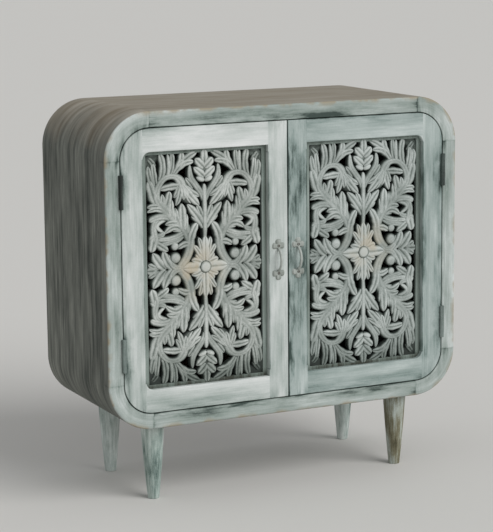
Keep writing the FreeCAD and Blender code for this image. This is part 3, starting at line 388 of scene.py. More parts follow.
# One quarter is drawn, in millimetres from the rosette's centre, and mirrored. Each piece of the carving runs
# from base to tip through its points, with a half width at each of them, and last how far it stands proud.
QUARTER_LEAVES = {
    "rosette_petal_low": ((6, 6), (19, 14), (34, 17), (7, 7, 0), 0.6),
    "rosette_petal_mid": ((6, 10), (15, 23), (23, 31), (7, 7, 0), 0.2),
    "rosette_petal_high": ((5, 14), (17, 36), (28, 51), (6, 6, 0), 0.6),
    "rosette_petal_top": ((3, 20), (10, 48), (15, 68), (6, 6, 0), 0.2),
    "stem_leaf": ((1, 88), (18, 117), (43, 147), (5, 10, 1), 0.8),
    "stem_leaf_spur": ((10, 101), (22, 111), (33, 119), (5, 5, 0), 0.2),
    "stem_leaf_inner": ((5, 104), (11, 126), (19, 144), (6, 7, 0), 0.3),
    "sepal_spur": ((26, 184), (37, 197), (46, 208), (8, 6, 0), 0.0),
    "bud_leaf_low": ((0, 200), (10, 204), (20, 208), (3, 5.5, 0), 2.2),
    "bud_leaf_mid": ((0, 208), (12, 219), (26, 231), (8, 8.5, 0), 1.8),
    "bud_leaf_high": ((0, 229), (11, 240), (22, 251), (8, 9.5, 0), 1.4),
    "fan_leaf_low": ((75, 217), (54, 240), (26, 244), (5, 7.5, 3), 1.0),
    "fan_leaf_long": ((77, 217), (48, 250), (17, 266), (6, 8.5, 2), 0.4),
    "fan_leaf_inner": ((78, 217), (60, 243), (56, 268), (5, 8, 4), 0.7),
    "fan_leaf_upright": ((87, 212), (80, 240), (80, 268), (5, 6, 4), 0.3),
    "fan_leaf_side": ((92, 210), (88, 236), (90, 265), (5, 5, 2), 0.7),
    "fan_finger": ((112, 200), (103, 234), (110, 267), (6, 8, 5), 0.4),
    "corner_leaf": ((120, 194), (125, 222), (127, 246), (6, 6.5, 2), 0.6),
    "corner_leaf_outer": ((123, 188), (135, 212), (138, 240), (7, 7.5, 2), 0.1),
    "corner_tip": ((121, 236), (129, 248), (138, 258), (5, 6.5, 1), -1.4),
    "border_leaf": ((114, 146), (129, 176), (137, 211), (9, 12, 2), 0.2),
    "hooked_leaf": ((37, 52), (32, 80), (17, 104), (9, 9.5, 0), 0.9),
    "hanging_lobe_1": ((60, 198), (37, 178), (12, 164), (4, 7.5, 0), 0.5),
    "hanging_lobe_2": ((60, 200), (37, 169), (13, 143), (4, 9, 1), 1.0),
    "hanging_lobe_3": ((58, 198), (46, 172), (33, 149), (4, 6.5, 0), 0.6),
    "hanging_lobe_4": ((59, 200), (54, 176), (51, 158), (4, 6, 0), 1.0),
    "hanging_lobe_5": ((58, 198), (62, 172), (71, 146), (4, 7.5, 0), 0.6),
    "hanging_lobe_6": ((62, 198), (67, 180), (76, 164), (4, 6.5, 0), 0.3),
    "beak_leaf": ((60, 190), (86, 190), (111, 185), (7, 7.5, 1), 0.9),
    "inner_leaf": ((98, 140), (91, 160), (87, 180), (8, 9, 1), 0.6),
    "inner_leaf_side": ((106, 140), (105, 157), (104, 174), (6, 6.5, 0), 0.3),
    "tall_leaf": ((54, 84), (56, 117), (57, 150), (10, 11, 1), 1.0),
    "tall_leaf_left": ((50, 82), (48, 105), (46, 127), (8, 6, 0), 0.5),
    "tall_leaf_right": ((66, 102), (71, 120), (72, 140), (8, 7, 0), 0.5),
    "tall_leaf_far": ((80, 114), (84, 136), (81, 160), (9, 7.5, 0), 0.7),
    "brow_leaf": ((92, 128), (117, 141), (142, 135), (6, 6, 0), 0.6),
    "brow_leaf_outer": ((104, 141), (122, 148), (142, 146), (7, 6, 1), 0.3),
    "curl_leaf": ((57, 88), (78, 97), (101, 83), (8, 7.5, 0), 0.8),
    "curl_leaf_upper": ((62, 102), (80, 107), (98, 104), (8, 7, 0), 0.6),
    "curl_leaf_low": ((56, 83), (67, 89), (80, 88), (5, 4.5, 0), 0.2),
    "fall_lobe_down": ((122, 84), (129, 63), (134, 43), (9, 10.5, 2), 0.9),
    "fall_lobe_in": ((120, 62), (107, 53), (92, 43), (8, 8, 1), 0.6),
    "fall_lobe_out": ((126, 86), (132, 78), (138, 70), (6, 5, 0), 0.3),
    "thorn_low": ((38, 56), (55, 55), (69, 46), (7, 7, 0), 0.6),
    "chevron_inner": ((79, 0), (96, 19), (104, 44), (7, 10.5, 0), 0.7),
    "chevron_outer": ((98, 0), (116, 18), (130, 41), (7, 11.5, 0), 0.4),
    "edge_leaf": ((116, 0), (129, 8), (141, 15), (5, 6.5, 2), -0.8),
}
# Scrolls and stems with a shallow groove along them, and low webs behind clusters of leaves.
QUARTER_SCROLLS = {
    "great_scroll": (
        (68, 0), (45, 26), (37, 58), (46, 84), (62, 107), (80, 124), (103, 143), (119, 167), (114, 193),
        (97, 211), (74, 213), (59, 200), (51, 177),
        (10, 10.5, 11.5, 13, 14.5, 16, 11.5, 9, 8, 6.5, 7, 11, 7), 0.2),
    "sepal": ((1, 150), (9, 172), (22, 190), (34, 209), (35, 237), (5, 6.5, 7, 7, 3), 0.4),
    "curl": ((104, 121), (122, 114), (128, 97), (125, 78), (120, 58), (6, 7, 7.5, 8.5, 8), 0.4),
    "corner_web": ((104, 262), (134, 252), (142, 214), (8, 15, 7), -4.0),
    "hanging_web": ((62, 206), (46, 178), (28, 152), (8, 20, 6), -2.2),
    "tall_web": ((58, 84), (62, 112), (66, 138), (12, 14, 5), -2.2),
    "curl_top": ((78, 114), (108, 123), (138, 114), (7, 7.5, 8), 0.5),
    "curl_eye": ((92, 116), (119, 104), (103, 87), (3, 4.5, 3), 0.8),
    "curl_tongue": ((124, 81), (110, 80), (101, 89), (6, 6, 3), 0.2),
    "ribbon_upper": ((50, 86), (66, 77), (90, 71), (119, 72), (5, 6.5, 5.5, 6), 0.6),
    "ribbon_lower": ((50, 79), (68, 67), (90, 62), (115, 57), (3, 6, 5.5, 6), 0.2),
    "berry_cup": ((58, 4), (80, 7), (91, 34), (7, 7, 2), 0.2),
}
# Leaves along the upright middle line, the stem below them, and leaves along the level middle line.
UPRIGHT_LEAVES = {
    "rosette_petal_up": ((0, 8), (0, 40), (0, 73), (8, 9.5, 0), 1.2),
    "bud_tip": ((0, 240), (0, 256), (0, 272), (5, 9, 2), 1.2),
}
UPRIGHT_SCROLLS = {
    "stem": ((0, 55), (0, 78), (0, 101), (0, 140), (0, 192), (4, 4.5, 6, 5.5, 7), 0.5),
    "bud_core": ((0, 196), (0, 220), (0, 246), (6, 15, 6), -2.0),
}
LEVEL_LEAVES = {
    "rosette_petal_side": ((6, 0), (26, 0), (57, 0), (13, 13.5, 0), 1.2),
    "edge_diamond": ((112, 0), (128, 0), (145, 0), (3, 10, 6), -1.0),
}
BERRIES = {
    "berry_large": ((75, 26), 14.0, 0.5, 1.0),
    "berry_small": ((76, 53), 10.5, 0.6, 0.5),
}
ROSETTE_DISC = ((0, 0), 14.5, 0.2, 2.6)
PANEL_THICKNESS, PANEL_LAP = 12.0, 8.0
SIDE_BORDER, END_BORDER, BORDER_EASING = 11.0, 8.0, 0.8
SHARP_WOOD = 50
LEAF_EDGE, LEAF_CROWN, LEAF_ARCH = 8.4, 3.2, 1.6
WALL_FLARE, EDGE_ROUND, EDGE_FULLNESS = 1.2, 1.1, 0.3
HUMP_POWER, CROWN_SHARE, CREST_POWER = 5, 0.5, 2.4
BLUNT_END, FULL_TIP, BASE_DIP = 0.14, 0.6, 1.0
VEIN_DEPTH, VEIN_WIDTH, VEINED_FROM, GROOVE_DEPTH = 1.9, 0.22, 6.0, 0.8
VEIN_SHARE, VEIN_FADE = 0.7, 0.5
SCALLOPS, SCALLOP_DEPTH = 2.5, 0.09
BLADE_ROWS, BLADE_COLUMNS, TIP_MERGE = 20, 10, 0.01
HEADING_STEP = 0.005
# Each vertex's tone is partly the paint's cover, thin at a blade's edge and thick on its crest, at its tip
# and on high pieces, and partly painted shade, darker on the flanks, in the vein, on sunk pieces and down the
# walls.
EDGE_COVER_AND_SHADE, CREST_COVER, LIFT_COVER_AND_SHADE = 0.3, 0.72, 0.12
BASE_SHARE, TIP_SHARE = 0.88, 0.16
CREST_PLACE, VEIN_SHADE = 0.5, 0.7
BOSS_RIM_SHADE, BOSS_SHADE_FALLOFF = 0.1, 1.6
# Each group of blades ends a little above the board's back, and each blade a hair above the one before it.
LEAF_BACK, SCROLL_BACK, UPRIGHT_LEAF_BACK, UPRIGHT_SCROLL_BACK, LEVEL_LEAF_BACK = 0.4, 0.2, 0.16, 0.12, 0.08
BOSS_BACK, BACK_STEP = 0.5, 0.01


def along(values, t):
    """A place on a smooth line through all the given values, from t 0 at the first to 1 at the last."""
    ahead_of_first = 3 * values[0] - 3 * values[1] + values[2]
    beyond_last = 3 * values[-1] - 3 * values[-2] + values[-3]
    line = (ahead_of_first, *values, beyond_last)
    lengths = len(values) - 1
    number = min(max(int(t * lengths), 0), lengths - 1)
    before, start, end, after = line[number:number + 4]
    s = t * lengths - number
    bend = 2 * before - 5 * start + 4 * end - after
    twist = 3 * start - before - 3 * end + after
    return start + 0.5 * ((end - before) * s + bend * s ** 2 + twist * s ** 3)


def blade_width(widths, t):
    """A half width with rounded ends. A leaf swells to its belly and closes in a full tip."""
    blunt = BLUNT_END * 2 / (len(widths) - 1)
    rounding = math.sqrt(1 - max(0, 1 - min(t, 1 - t) / blunt) ** 2)
    if len(widths) > 3:
        return along(widths, t) * rounding
    base, belly, tip = widths
    if t < 0.5:
        return (base + (belly - base) * math.sin(math.pi * t)) * rounding
    return tip * rounding + (belly - tip) * (1 - (2 * t - 1) ** 2) ** FULL_TIP


def carve_blade(
    bm, cover_and_shade, points, widths, lift, vein_depth=VEIN_DEPTH, crown=LEAF_CROWN, edge=LEAF_EDGE, back=0.0,
):
    """One leaf or scroll with a rounded top, down to its back. The wider ones have a vein or a groove.

    Across runs X, up runs Y and outwards runs Z, in millimetres.
    """
    line = [Vector(point) for point in points]
    rows = BLADE_ROWS * (len(line) - 1) // 2
    vein_depth *= widths[1] >= VEINED_FROM
    sheet = bmesh.ops.create_grid(bm, x_segments=rows, y_segments=BLADE_COLUMNS, size=1.0)["verts"]
    faces = list({face for vert in sheet for face in vert.link_faces})
    raised = bmesh.ops.extrude_face_region(bm, geom=faces, use_keep_orig=True)["geom"]
    tops = [item for item in raised if isinstance(item, bmesh.types.BMVert)]
    for verts, flare in ((sheet, WALL_FLARE), (tops, 0.0)):
        for vert in verts:
            t = 0.5 + 0.5 * math.sin(vert.co.x * math.pi / 2)
            side = math.sin(vert.co.y * math.pi / 2)
            heading = (along(line, t + HEADING_STEP) - along(line, t - HEADING_STEP)).normalized()
            across = Vector((-heading.y, heading.x))
            scallop = SCALLOP_DEPTH * math.cos(math.tau * SCALLOPS * t) if vein_depth > GROOVE_DEPTH else 0.0
            rounding = EDGE_ROUND * math.sin(math.pi * t) ** EDGE_FULLNESS
            width = blade_width(widths, t) * (1 + scallop) + rounding
            point = along(line, t) + across * side * (width + flare) + heading * flare * t
            hump = 1 - abs(side) ** HUMP_POWER
            full = min(crown, CROWN_SHARE * width)
            deepest = min(vein_depth, VEIN_SHARE * full)
            vein = deepest * math.exp(-((side / VEIN_WIDTH) ** 2)) * (1 - VEIN_FADE * t)
            rise = LEAF_ARCH * math.sin(math.pi * t) - BASE_DIP * (1 - t) ** 4
            height = edge + lift + rise + full * hump - vein
            vert.co = (point.x, point.y, back if flare else height)
            # The tone: rubbed paint, plus painted shade on the flanks and in the vein. The walls' feet get
            # none, so painted shade runs down the walls.
            smooth_crest = 1 - abs(side) ** CREST_POWER
            shade = VEIN_SHADE if abs(side) < CREST_PLACE else 1.0
            veined_crest = 1 - shade * ((abs(side) - CREST_PLACE) / (1 - CREST_PLACE)) ** 2
            crest = smooth_crest + (veined_crest - smooth_crest) * vein_depth / VEIN_DEPTH
            cover = (EDGE_COVER_AND_SHADE + CREST_COVER * crest) * (BASE_SHARE + TIP_SHARE * t) + LIFT_COVER_AND_SHADE * lift
            vert[cover_and_shade] = 0.0 if flare else max(0.0, cover)
    bmesh.ops.remove_doubles(bm, verts=tops, dist=TIP_MERGE)
    bmesh.ops.dissolve_faces(bm, faces=faces, use_verts=True)


def carve_boss(bm, cover_and_shade, centre, radius, dome, lift):
    """A round boss with a domed top, on a stem that goes down to the panel's back."""
    ball = bmesh.ops.create_uvsphere(bm, u_segments=28, v_segments=14, radius=1.0)["verts"]
    shoulder = LEAF_EDGE + LEAF_CROWN + lift - dome * radius * 0.5
    for vert in ball:
        x, y, z = vert.co
        height = max(z, 0.0)
        # Painted shade: the tone falls from the dome's crest to a dark rim and a darkest stem.
        vert[cover_and_shade] = min(1.0, BOSS_RIM_SHADE + BOSS_SHADE_FALLOFF * height ** 2)
        top = shoulder + dome * radius * height
        vert.co = (centre[0] + x * radius, centre[1] + y * radius, BOSS_BACK if z < -0.01 else top)


def carve_group(bm, cover_and_shade, blades, back, vein_depth=VEIN_DEPTH, way=1):
    """All leaves or scrolls of a group, to the right of the middle line or with way -1 to the left."""
    for number, (*points, widths, lift) in enumerate(blades.values()):
        points = [(way * across, up) for across, up in points]
        carve_blade(bm, cover_and_shade, points, widths, lift, vein_depth, back=back + BACK_STEP * number)


def carving_mesh(name):
    """The whole pierced board: the quarter, mirrored both ways, then the blades on the middle lines."""
    bm = bmesh.new()
    cover_and_shade = bm.verts.layers.float.new("cover_and_shade")
    carve_group(bm, cover_and_shade, QUARTER_LEAVES, LEAF_BACK)
    carve_group(bm, cover_and_shade, QUARTER_SCROLLS, SCROLL_BACK, GROOVE_DEPTH)
    for berry in BERRIES.values():
        carve_boss(bm, cover_and_shade, *berry)
    bmesh.ops.mirror(bm, geom=bm.verts[:] + bm.edges[:] + bm.faces[:], axis="X", merge_dist=-1)
    carve_group(bm, cover_and_shade, UPRIGHT_LEAVES, UPRIGHT_LEAF_BACK)
    carve_group(bm, cover_and_shade, UPRIGHT_SCROLLS, UPRIGHT_SCROLL_BACK, GROOVE_DEPTH)
    bmesh.ops.mirror(bm, geom=bm.verts[:] + bm.edges[:] + bm.faces[:], axis="Y", merge_dist=-1)
    for way in (1, -1):
        carve_group(bm, cover_and_shade, LEVEL_LEAVES, LEVEL_LEAF_BACK, way=way)
    carve_boss(bm, cover_and_shade, *ROSETTE_DISC)
    return finished_mesh(name, bm, SHARP_WOOD)


def finished_mesh(name, bm, sharp_angle):
    """Turns all faces outwards, smooths the curves, keeps edges past an angle sharp and makes the mesh."""
    bmesh.ops.recalc_face_normals(bm, faces=bm.faces[:])
    for face in bm.faces:
        face.smooth = True
    for edge in bm.edges:
        edge.smooth = edge.calc_face_angle(0) < math.radians(sharp_angle)
    mesh = bpy.data.meshes.new(name)
    bm.to_mesh(mesh)
    bm.free()
    return mesh


def border_mesh(name, half_width, half_height):
    """The plain flat margin round the carving, with eased edges."""
    bm = bmesh.new()
    bmesh.ops.create_grid(bm, x_segments=3, y_segments=3, size=1.0)
    middle = min(bm.faces, key=lambda face: face.calc_center_median().length)
    bmesh.ops.delete(bm, geom=[middle], context="FACES")
    for vert in bm.verts:
        for axis, half, border in ((0, half_width, SIDE_BORDER), (1, half_height, END_BORDER)):
            reach = half + PANEL_LAP if abs(vert.co[axis]) > 0.5 else half - border
            vert.co[axis] = math.copysign(reach, vert.co[axis])
    raised = bmesh.ops.extrude_face_region(bm, geom=bm.faces[:], use_keep_orig=True)["geom"]
    tops = [item for item in raised if isinstance(item, bmesh.types.BMVert)]
    bmesh.ops.translate(bm, verts=tops, vec=(0, 0, PANEL_THICKNESS))
    sharp = [edge for edge in bm.edges if abs(edge.calc_face_angle(0)) > 1.0]
    bmesh.ops.bevel(
        bm, geom=sharp, offset=BORDER_EASING, affect="EDGES", segments=2, profile=0.5, material=-1)
    return finished_mesh(name, bm, SHARP_WOOD)


CARVING_COATS = {
    "left": ("#2b322e", "#474f4a", "#767e78", "#9da39e", "#c6cac6"),
    "right": ("#2b322e", "#454e49", "#747d78", "#99a19d", "#bfc5c2"),
}
ROSETTE_BEIGE = "#b3a283"
BLOOM_PLACE = {"left": (-16 * MM, 0.0, -10 * MM), "right": (10 * MM, 0.0, 12 * MM)}
BLOOM_STRENGTH = {"left": 0.75, "right": 0.5}
BLOOM_REACH, BLOOM_FULL = 75 * MM, 15 * MM
DISC_BLOOM, DISC_STARTS, DISC_ENDS = 0.35, 11 * MM, 19 * MM
PATCH_SIZE, PATCH_WEIGHT = 45 * MM, 0.6
BLOOM_PATCH_STARTS, BLOOM_PATCH_FULL, BLOOM_HEIGHT_STARTS, BLOOM_HEIGHT_FULL = 0.38, 0.58, 0.2, 0.6
CARVING_GRIT, CARVING_GRIT_WEIGHT = 3 * MM, 0.3
COVER_AND_SHADE_WEIGHT, LEAST_COVER = 0.78, -0.45
ROSETTE_REACH, ROSETTE_FULL, ROSETTE_COVER = 70 * MM, 20 * MM, 0.14
FOOT_DARK_PAINT_AND_SHADE = {"left": 0.38, "right": 0.3}
FOOT_STARTS, FOOT_FULL = 180 * MM, 270 * MM
BORDER_COATS = ("#393c34", "#6c7770", "#8a9690", "#a6b0ab")
BORDER_COVER, BORDER_CONTRAST, BORDER_FOOT_DARKENING = 0.5, 0.8, 0.3
BORDER_FOOT_STARTS, BORDER_FOOT_FULL = case_middle - 250 * MM, case_middle - 265 * MM


def rubbed_carving_paint(name, side, centre):
    """Rubbed paint and painted shade on a carving: pale on the high wood, grey-green on the slopes, near
    black in the cuts.

    A yellowish bloom of old varnish shows in patches round the rosette.
    """
    material, tree, shader, place = new_finish(name, roughness=0.7)
    cover_and_shade = add(tree, "Attribute", {}, attribute_name="cover_and_shade").outputs["Fac"]
    patch = add(tree, "TexNoise", {
        "Vector": place, "Scale": 1 / PATCH_SIZE, "Detail": 4.0, "Roughness": 0.6}).outputs[0]
    grit = add(tree, "TexNoise", {
        "Vector": place, "Scale": 1 / CARVING_GRIT, "Detail": 3.0, "Roughness": 0.6}).outputs[0]
    level = LEAST_COVER
    # The carving's tone attribute brings in rubbed paint and painted shade together.
    for part, weight in ((cover_and_shade, COVER_AND_SHADE_WEIGHT), (patch, PATCH_WEIGHT), (grit, CARVING_GRIT_WEIGHT)):
        level = add(tree, "Math", {0: part, 1: weight, 2: level}, operation="MULTIPLY_ADD").outputs[0]
    offset = add(tree, "VectorMath", {0: place, 1: centre}, operation="SUBTRACT").outputs[0]
    lift = add(tree, "SeparateXYZ", {0: offset}).outputs[2]
    # Darker towards the panel's foot: partly darker paint, partly painted shade.
    foot = add(tree, "MapRange", {0: lift, 1: -FOOT_STARTS, 2: -FOOT_FULL, 4: FOOT_DARK_PAINT_AND_SHADE[side]}).outputs[0]
    level = add(tree, "Math", {0: level, 1: foot}, operation="SUBTRACT").outputs[0]
    away = add(tree, "VectorMath", {0: offset}, operation="LENGTH").outputs["Value"]
    thick = add(tree, "MapRange", {0: away, 1: ROSETTE_REACH, 2: ROSETTE_FULL, 4: ROSETTE_COVER}).outputs[0]
    level = add(tree, "Math", {0: level, 1: thick}, operation="ADD").outputs[0]
    colour = coat_colour(tree, level, CARVING_COATS[side])
    offset = add(tree, "VectorMath", {0: offset, 1: BLOOM_PLACE[side]}, operation="SUBTRACT").outputs[0]
    off = add(tree, "VectorMath", {0: offset}, operation="LENGTH").outputs["Value"]
    bloom = add(tree, "MapRange", {0: off, 1: BLOOM_REACH, 2: BLOOM_FULL, 4: BLOOM_STRENGTH[side]}).outputs[0]
    beside_disc = add(tree, "MapRange", {0: away, 1: DISC_STARTS, 2: DISC_ENDS, 3: DISC_BLOOM}).outputs[0]
    patchy = add(tree, "MapRange", {0: patch, 1: BLOOM_PATCH_STARTS, 2: BLOOM_PATCH_FULL}).outputs[0]
    high = add(tree, "MapRange", {0: cover_and_shade, 1: BLOOM_HEIGHT_STARTS, 2: BLOOM_HEIGHT_FULL}).outputs[0]
    for share in (beside_disc, patchy, high):
        bloom = add(tree, "Math", {0: bloom, 1: share}, operation="MULTIPLY").outputs[0]
    colour = add(tree, "Mix", {0: bloom, 6: colour, 7: linear(ROSETTE_BEIGE)}, data_type="RGBA").outputs[2]
    lay_paint(tree, shader, colour, grit)
    return material


def border_paint(name):
    """Thin grey-green paint on the panel's margin. The dark ground shows in streaks, and the margin is darker
    along its foot.
    """
    material, tree, shader, place = new_finish(name, roughness=0.7)
    level = brush_level(tree, place, "upright", BORDER_COVER, BORDER_CONTRAST)
    lift = add(tree, "SeparateXYZ", {0: place}).outputs[2]
    # Darker along the margin's foot.
    foot = add(tree, "MapRange", {
        0: lift, 1: BORDER_FOOT_STARTS, 2: BORDER_FOOT_FULL, 4: BORDER_FOOT_DARKENING}).outputs[0]
    level = add(tree, "Math", {0: level, 1: foot}, operation="SUBTRACT").outputs[0]
    lay_paint(tree, shader, coat_colour(tree, level, BORDER_COATS), level)
    return material


margin_paint = border_paint("thin_margin_paint")
outwards = Matrix.Rotation(math.radians(90), 4, "X")
for side in CARVING_COATS:
    panel = f"{side}_door_carved_panel"
    low_corner, high_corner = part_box(panel)
    centre = (low_corner + high_corner) / 2
    opening_half_width = (high_corner.x - low_corner.x) / 2 / MM - PANEL_LAP
    opening_half_height = (high_corner.z - low_corner.z) / 2 / MM - PANEL_LAP
    seat = Matrix.Translation((centre.x, high_corner.y, centre.z)) @ Matrix.Scale(MM, 4) @ outwards
    spread = Matrix.Diagonal((
        (opening_half_width - SIDE_BORDER) / FIELD_HALF_WIDTH,
        (opening_half_height - END_BORDER) / FIELD_HALF_HEIGHT, 1, 1))
    carving = bpy.data.objects.new(f"{side}_carving", carving_mesh(f"{side}_carving"))
    carving.data.transform(seat @ spread)
    carving.data.materials.append(rubbed_carving_paint(
        f"{side}_rubbed_carving_paint", side, (centre.x, low_corner.y, centre.z)))
    margin = border_mesh(f"{side}_carving_border", opening_half_width, opening_half_height)
    border = bpy.data.objects.new(f"{side}_carving_border", margin)
    border.data.transform(seat)
    border.data.materials.append(margin_paint)
    for piece in (carving, border):
        bpy.context.collection.objects.link(piece)
        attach(piece, f"{side}_door")
    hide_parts(panel)

# Butt hinges of steel, let into door and frame and painted over thinly. Their barrels stand proud.
# Use has rubbed the paint off the upper ones most, the left one above all, so that the oily dark metal shows.
HINGE_COATS = ("#232a27", "#56615d", "#7b8783", "#a7b1ad")
HINGE_CONTRAST, METAL_COVER = 1.0, 0.5
UPPER_HINGE_WEAR = {"left": 0.5, "right": 0.1}


def painted_metal(name, coats, contrast, upper_wear=0.0):
    """Paint brushed over metal, rubbed through to the dull dark metal in small spots, or more higher up."""
    material, tree, shader, place = new_finish(name, roughness=0.55)
    level = brush_level(tree, place, "upright", METAL_COVER, contrast)
    lift = add(tree, "SeparateXYZ", {0: place}).outputs[2]
    wear = add(tree, "MapRange", {0: lift, 1: case_middle, 2: case_middle + HINGE_LENGTH, 4: upper_wear})
    level = add(tree, "Math", {0: level, 1: wear.outputs[0]}, operation="SUBTRACT").outputs[0]
    lay_paint(tree, shader, coat_colour(tree, level, coats), level)
    return material


for side, wear in UPPER_HINGE_WEAR.items():
    steel = painted_metal(f"{side}_thinly_painted_steel", HINGE_COATS, HINGE_CONTRAST, wear)
    give(steel, f"{side}_frame_hinge_leaves", f"{side}_door_hinge_leaves")
give(steel, "hinge_pins")

# Pull handles of cast iron: a bowed bar between two end plates with three leaf-shaped lobes each.
# A screw through the middle of each plate holds them on the meeting stile. They are painted over too.
HANDLE_COATS = ("#4d4b43", "#8f958f", "#b2b7b2", "#cdd0cd")
HANDLE_CONTRAST = 0.9
HANDLE_HALF_SPACING, HANDLE_REACH = 32.0, 20.0
HANDLE_BOSS_RADIUS, BOSS_TAPER, HANDLE_PLATE = 7.5, 0.8, 2.9
LOBE_REACH, LOBE_BELLY = 15.8, 0.6
LOBE_WIDTHS, LOBE_EDGE, LOBE_CROWN = (3.0, 5.0, 0.0), 0.6, 1.8
BAR_RADIUS, BAR_SIDES, BAR_STEPS, BOSS_SIDES = 3.0, 16, 32, 32
SHARP_METAL = 40


def handle_mesh(name):
    """End plates with lobes and a bowed bar. Across runs X, up runs Y and outwards runs Z, in millimetres."""
    bm = bmesh.new()
    cover_and_shade = bm.verts.layers.float.new("cover_and_shade")
    for end in (1, -1):
        seat = Vector((0, end * HANDLE_HALF_SPACING))
        for way in (Vector((1, 0)), Vector((-1, 0)), Vector((0, end))):
            points = (seat, seat + way * LOBE_REACH * LOBE_BELLY, seat + way * (LOBE_REACH - WALL_FLARE))
            carve_blade(bm, cover_and_shade, points, LOBE_WIDTHS, 0.0, crown=LOBE_CROWN, edge=LOBE_EDGE)
        boss = bmesh.ops.create_cone(
            bm, cap_ends=True, segments=BOSS_SIDES, depth=HANDLE_PLATE,
            radius1=HANDLE_BOSS_RADIUS, radius2=HANDLE_BOSS_RADIUS * BOSS_TAPER)["verts"]
        bmesh.ops.translate(bm, verts=boss, vec=(0, seat.y, HANDLE_PLATE / 2))
    half_chord = HANDLE_HALF_SPACING - HANDLE_BOSS_RADIUS + BAR_RADIUS / 2
    rise = HANDLE_REACH - BAR_RADIUS - HANDLE_PLATE / 2
    bow = (half_chord ** 2 + rise ** 2) / (2 * rise)
    centre = Vector((0, 0, HANDLE_PLATE / 2 + rise - bow))
    half_angle = math.asin(half_chord / bow)
    section = bmesh.ops.create_circle(bm, segments=BAR_SIDES, radius=BAR_RADIUS)["verts"]
    bmesh.ops.rotate(bm, verts=section, cent=(0, 0, 0), matrix=Matrix.Rotation(math.radians(90), 3, "X"))
    bmesh.ops.translate(bm, verts=section, vec=centre + Vector((0, 0, bow)))
    bmesh.ops.rotate(bm, verts=section, cent=centre, matrix=Matrix.Rotation(half_angle, 3, "X"))
    rims = list({edge for vert in section for edge in vert.link_edges})
    bmesh.ops.spin(
        bm, geom=section + rims, cent=centre, axis=(-1, 0, 0), angle=2 * half_angle, steps=BAR_STEPS)
    bmesh.ops.holes_fill(bm, edges=[edge for edge in bm.edges if edge.is_boundary], sides=0)
    return finished_mesh(name, bm, SHARP_METAL)


handle_paint = painted_metal("painted_over_iron", HANDLE_COATS, HANDLE_CONTRAST)
for side in ("left", "right"):
    iron = f"{side}_door_pull_handle"
    low_corner, high_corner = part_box(iron)
    centre = (low_corner + high_corner) / 2
    handle = bpy.data.objects.new(f"{side}_bow_handle", handle_mesh(f"{side}_bow_handle"))
    handle.data.transform(
        Matrix.Translation((centre.x, front_plane, centre.z)) @ Matrix.Scale(MM, 4) @ outwards)
    handle.data.materials.append(handle_paint)
    bpy.context.collection.objects.link(handle)
    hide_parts(iron)
    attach(handle, f"{side}_door")

# Screws, bolts, washers, nuts, magnets and strike plates: zinc-plated steel, gone dull and brownish with age.
# Cloudy spots take their shine away.
SPOT_SIZE, SPOT_STARTS, SPOT_FULL = 4 * MM, 0.4, 0.65
BRIGHT_ROUGHNESS, SPOT_ROUGHNESS, METAL_SHARE = 0.35, 0.6, 0.8


def dull_steel(name, bright, spot):
    """Old plated steel: a grey metal with cloudy brown spots."""
    material, tree, shader, place = new_finish(name, roughness=0.5)
    cloud = add(tree, "TexNoise", {"Vector": place, "Scale": 1 / SPOT_SIZE, "Detail": 3.0}).outputs[0]
    tone = add(tree, "MapRange", {0: cloud, 1: SPOT_STARTS, 2: SPOT_FULL}).outputs[0]
    colour = add(tree, "Mix", {0: tone, 6: linear(bright), 7: linear(spot)}, data_type="RGBA").outputs[2]
    tree.links.new(colour, shader.inputs["Base Color"])
    rough = add(tree, "MapRange", {0: cloud, 3: BRIGHT_ROUGHNESS, 4: SPOT_ROUGHNESS}).outputs[0]
    tree.links.new(rough, shader.inputs["Roughness"])
    shader.inputs["Metallic"].default_value = METAL_SHARE
    return material


plated_steel = dull_steel("dull_plated_steel", "#6b6a66", "#4a443c")
give(plated_steel, "back_panel_screws", "cleat_screws", "frame_hinge_screws", "catch_screw", "catch_magnets",
     "leg_bolts", "leg_washers", "leg_nuts")
for side in ("left", "right"):
    give(plated_steel, f"{side}_door_hinge_screws", f"{side}_door_handle_screws", f"{side}_door_strike_plate")

# The magnetic catch: a block of moulded brown plastic under the top, held by one screw.
# Its mould left a faint even grain.
MOULD_GRAIN = 0.8 * MM
catch_plastic, tree, shader, place = new_finish("moulded_brown_plastic", roughness=0.45)
grain = add(tree, "TexNoise", {"Vector": place, "Scale": 1 / MOULD_GRAIN, "Detail": 2.0}).outputs[0]
lay_paint(tree, shader, coat_colour(tree, grain, ("#6d5a46", "#85705a")), grain)
give(catch_plastic, "magnetic_catch")

# Four legs, turned from softwood to a slim taper with a faint swell, and rounded where they meet the floor.
# They are bolted through the bottom and painted in long upright strokes. The front right one is worn to olive
# brown. The back ones are paler, partly from whiter paint and partly as painted light that lifts them out of
# the case's shade.
LEG_COATS_AND_LIGHT = {
    "front_left": ("#344e48", "#8a9a94", "#b0bdb7", "#cdd6d2"),
    "front_right": ("#3f3c29", "#77735c", "#a0a59b", "#c6d0cb"),
    # The back legs' paler coats are partly painted light against the case's shade.
    "back_left": ("#5a6f69", "#abb7b2", "#cad3cf", "#dfe5e2"),
    "back_right": ("#5a6f69", "#abb7b2", "#cad3cf", "#dfe5e2"),
}
LEG_COVER, LEG_CONTRAST = 0.55, 1.6
LEG_SWELL, LEG_FOOT, FOOT_ROUND, FOOT_CURVE = 0.9 * MM, 27 * MM, 2 * MM, 0.3
LEG_RINGS, LEG_SIDES, SHARP_TURNING, POLE_MERGE = 12, 64, 40, 0.001 * MM


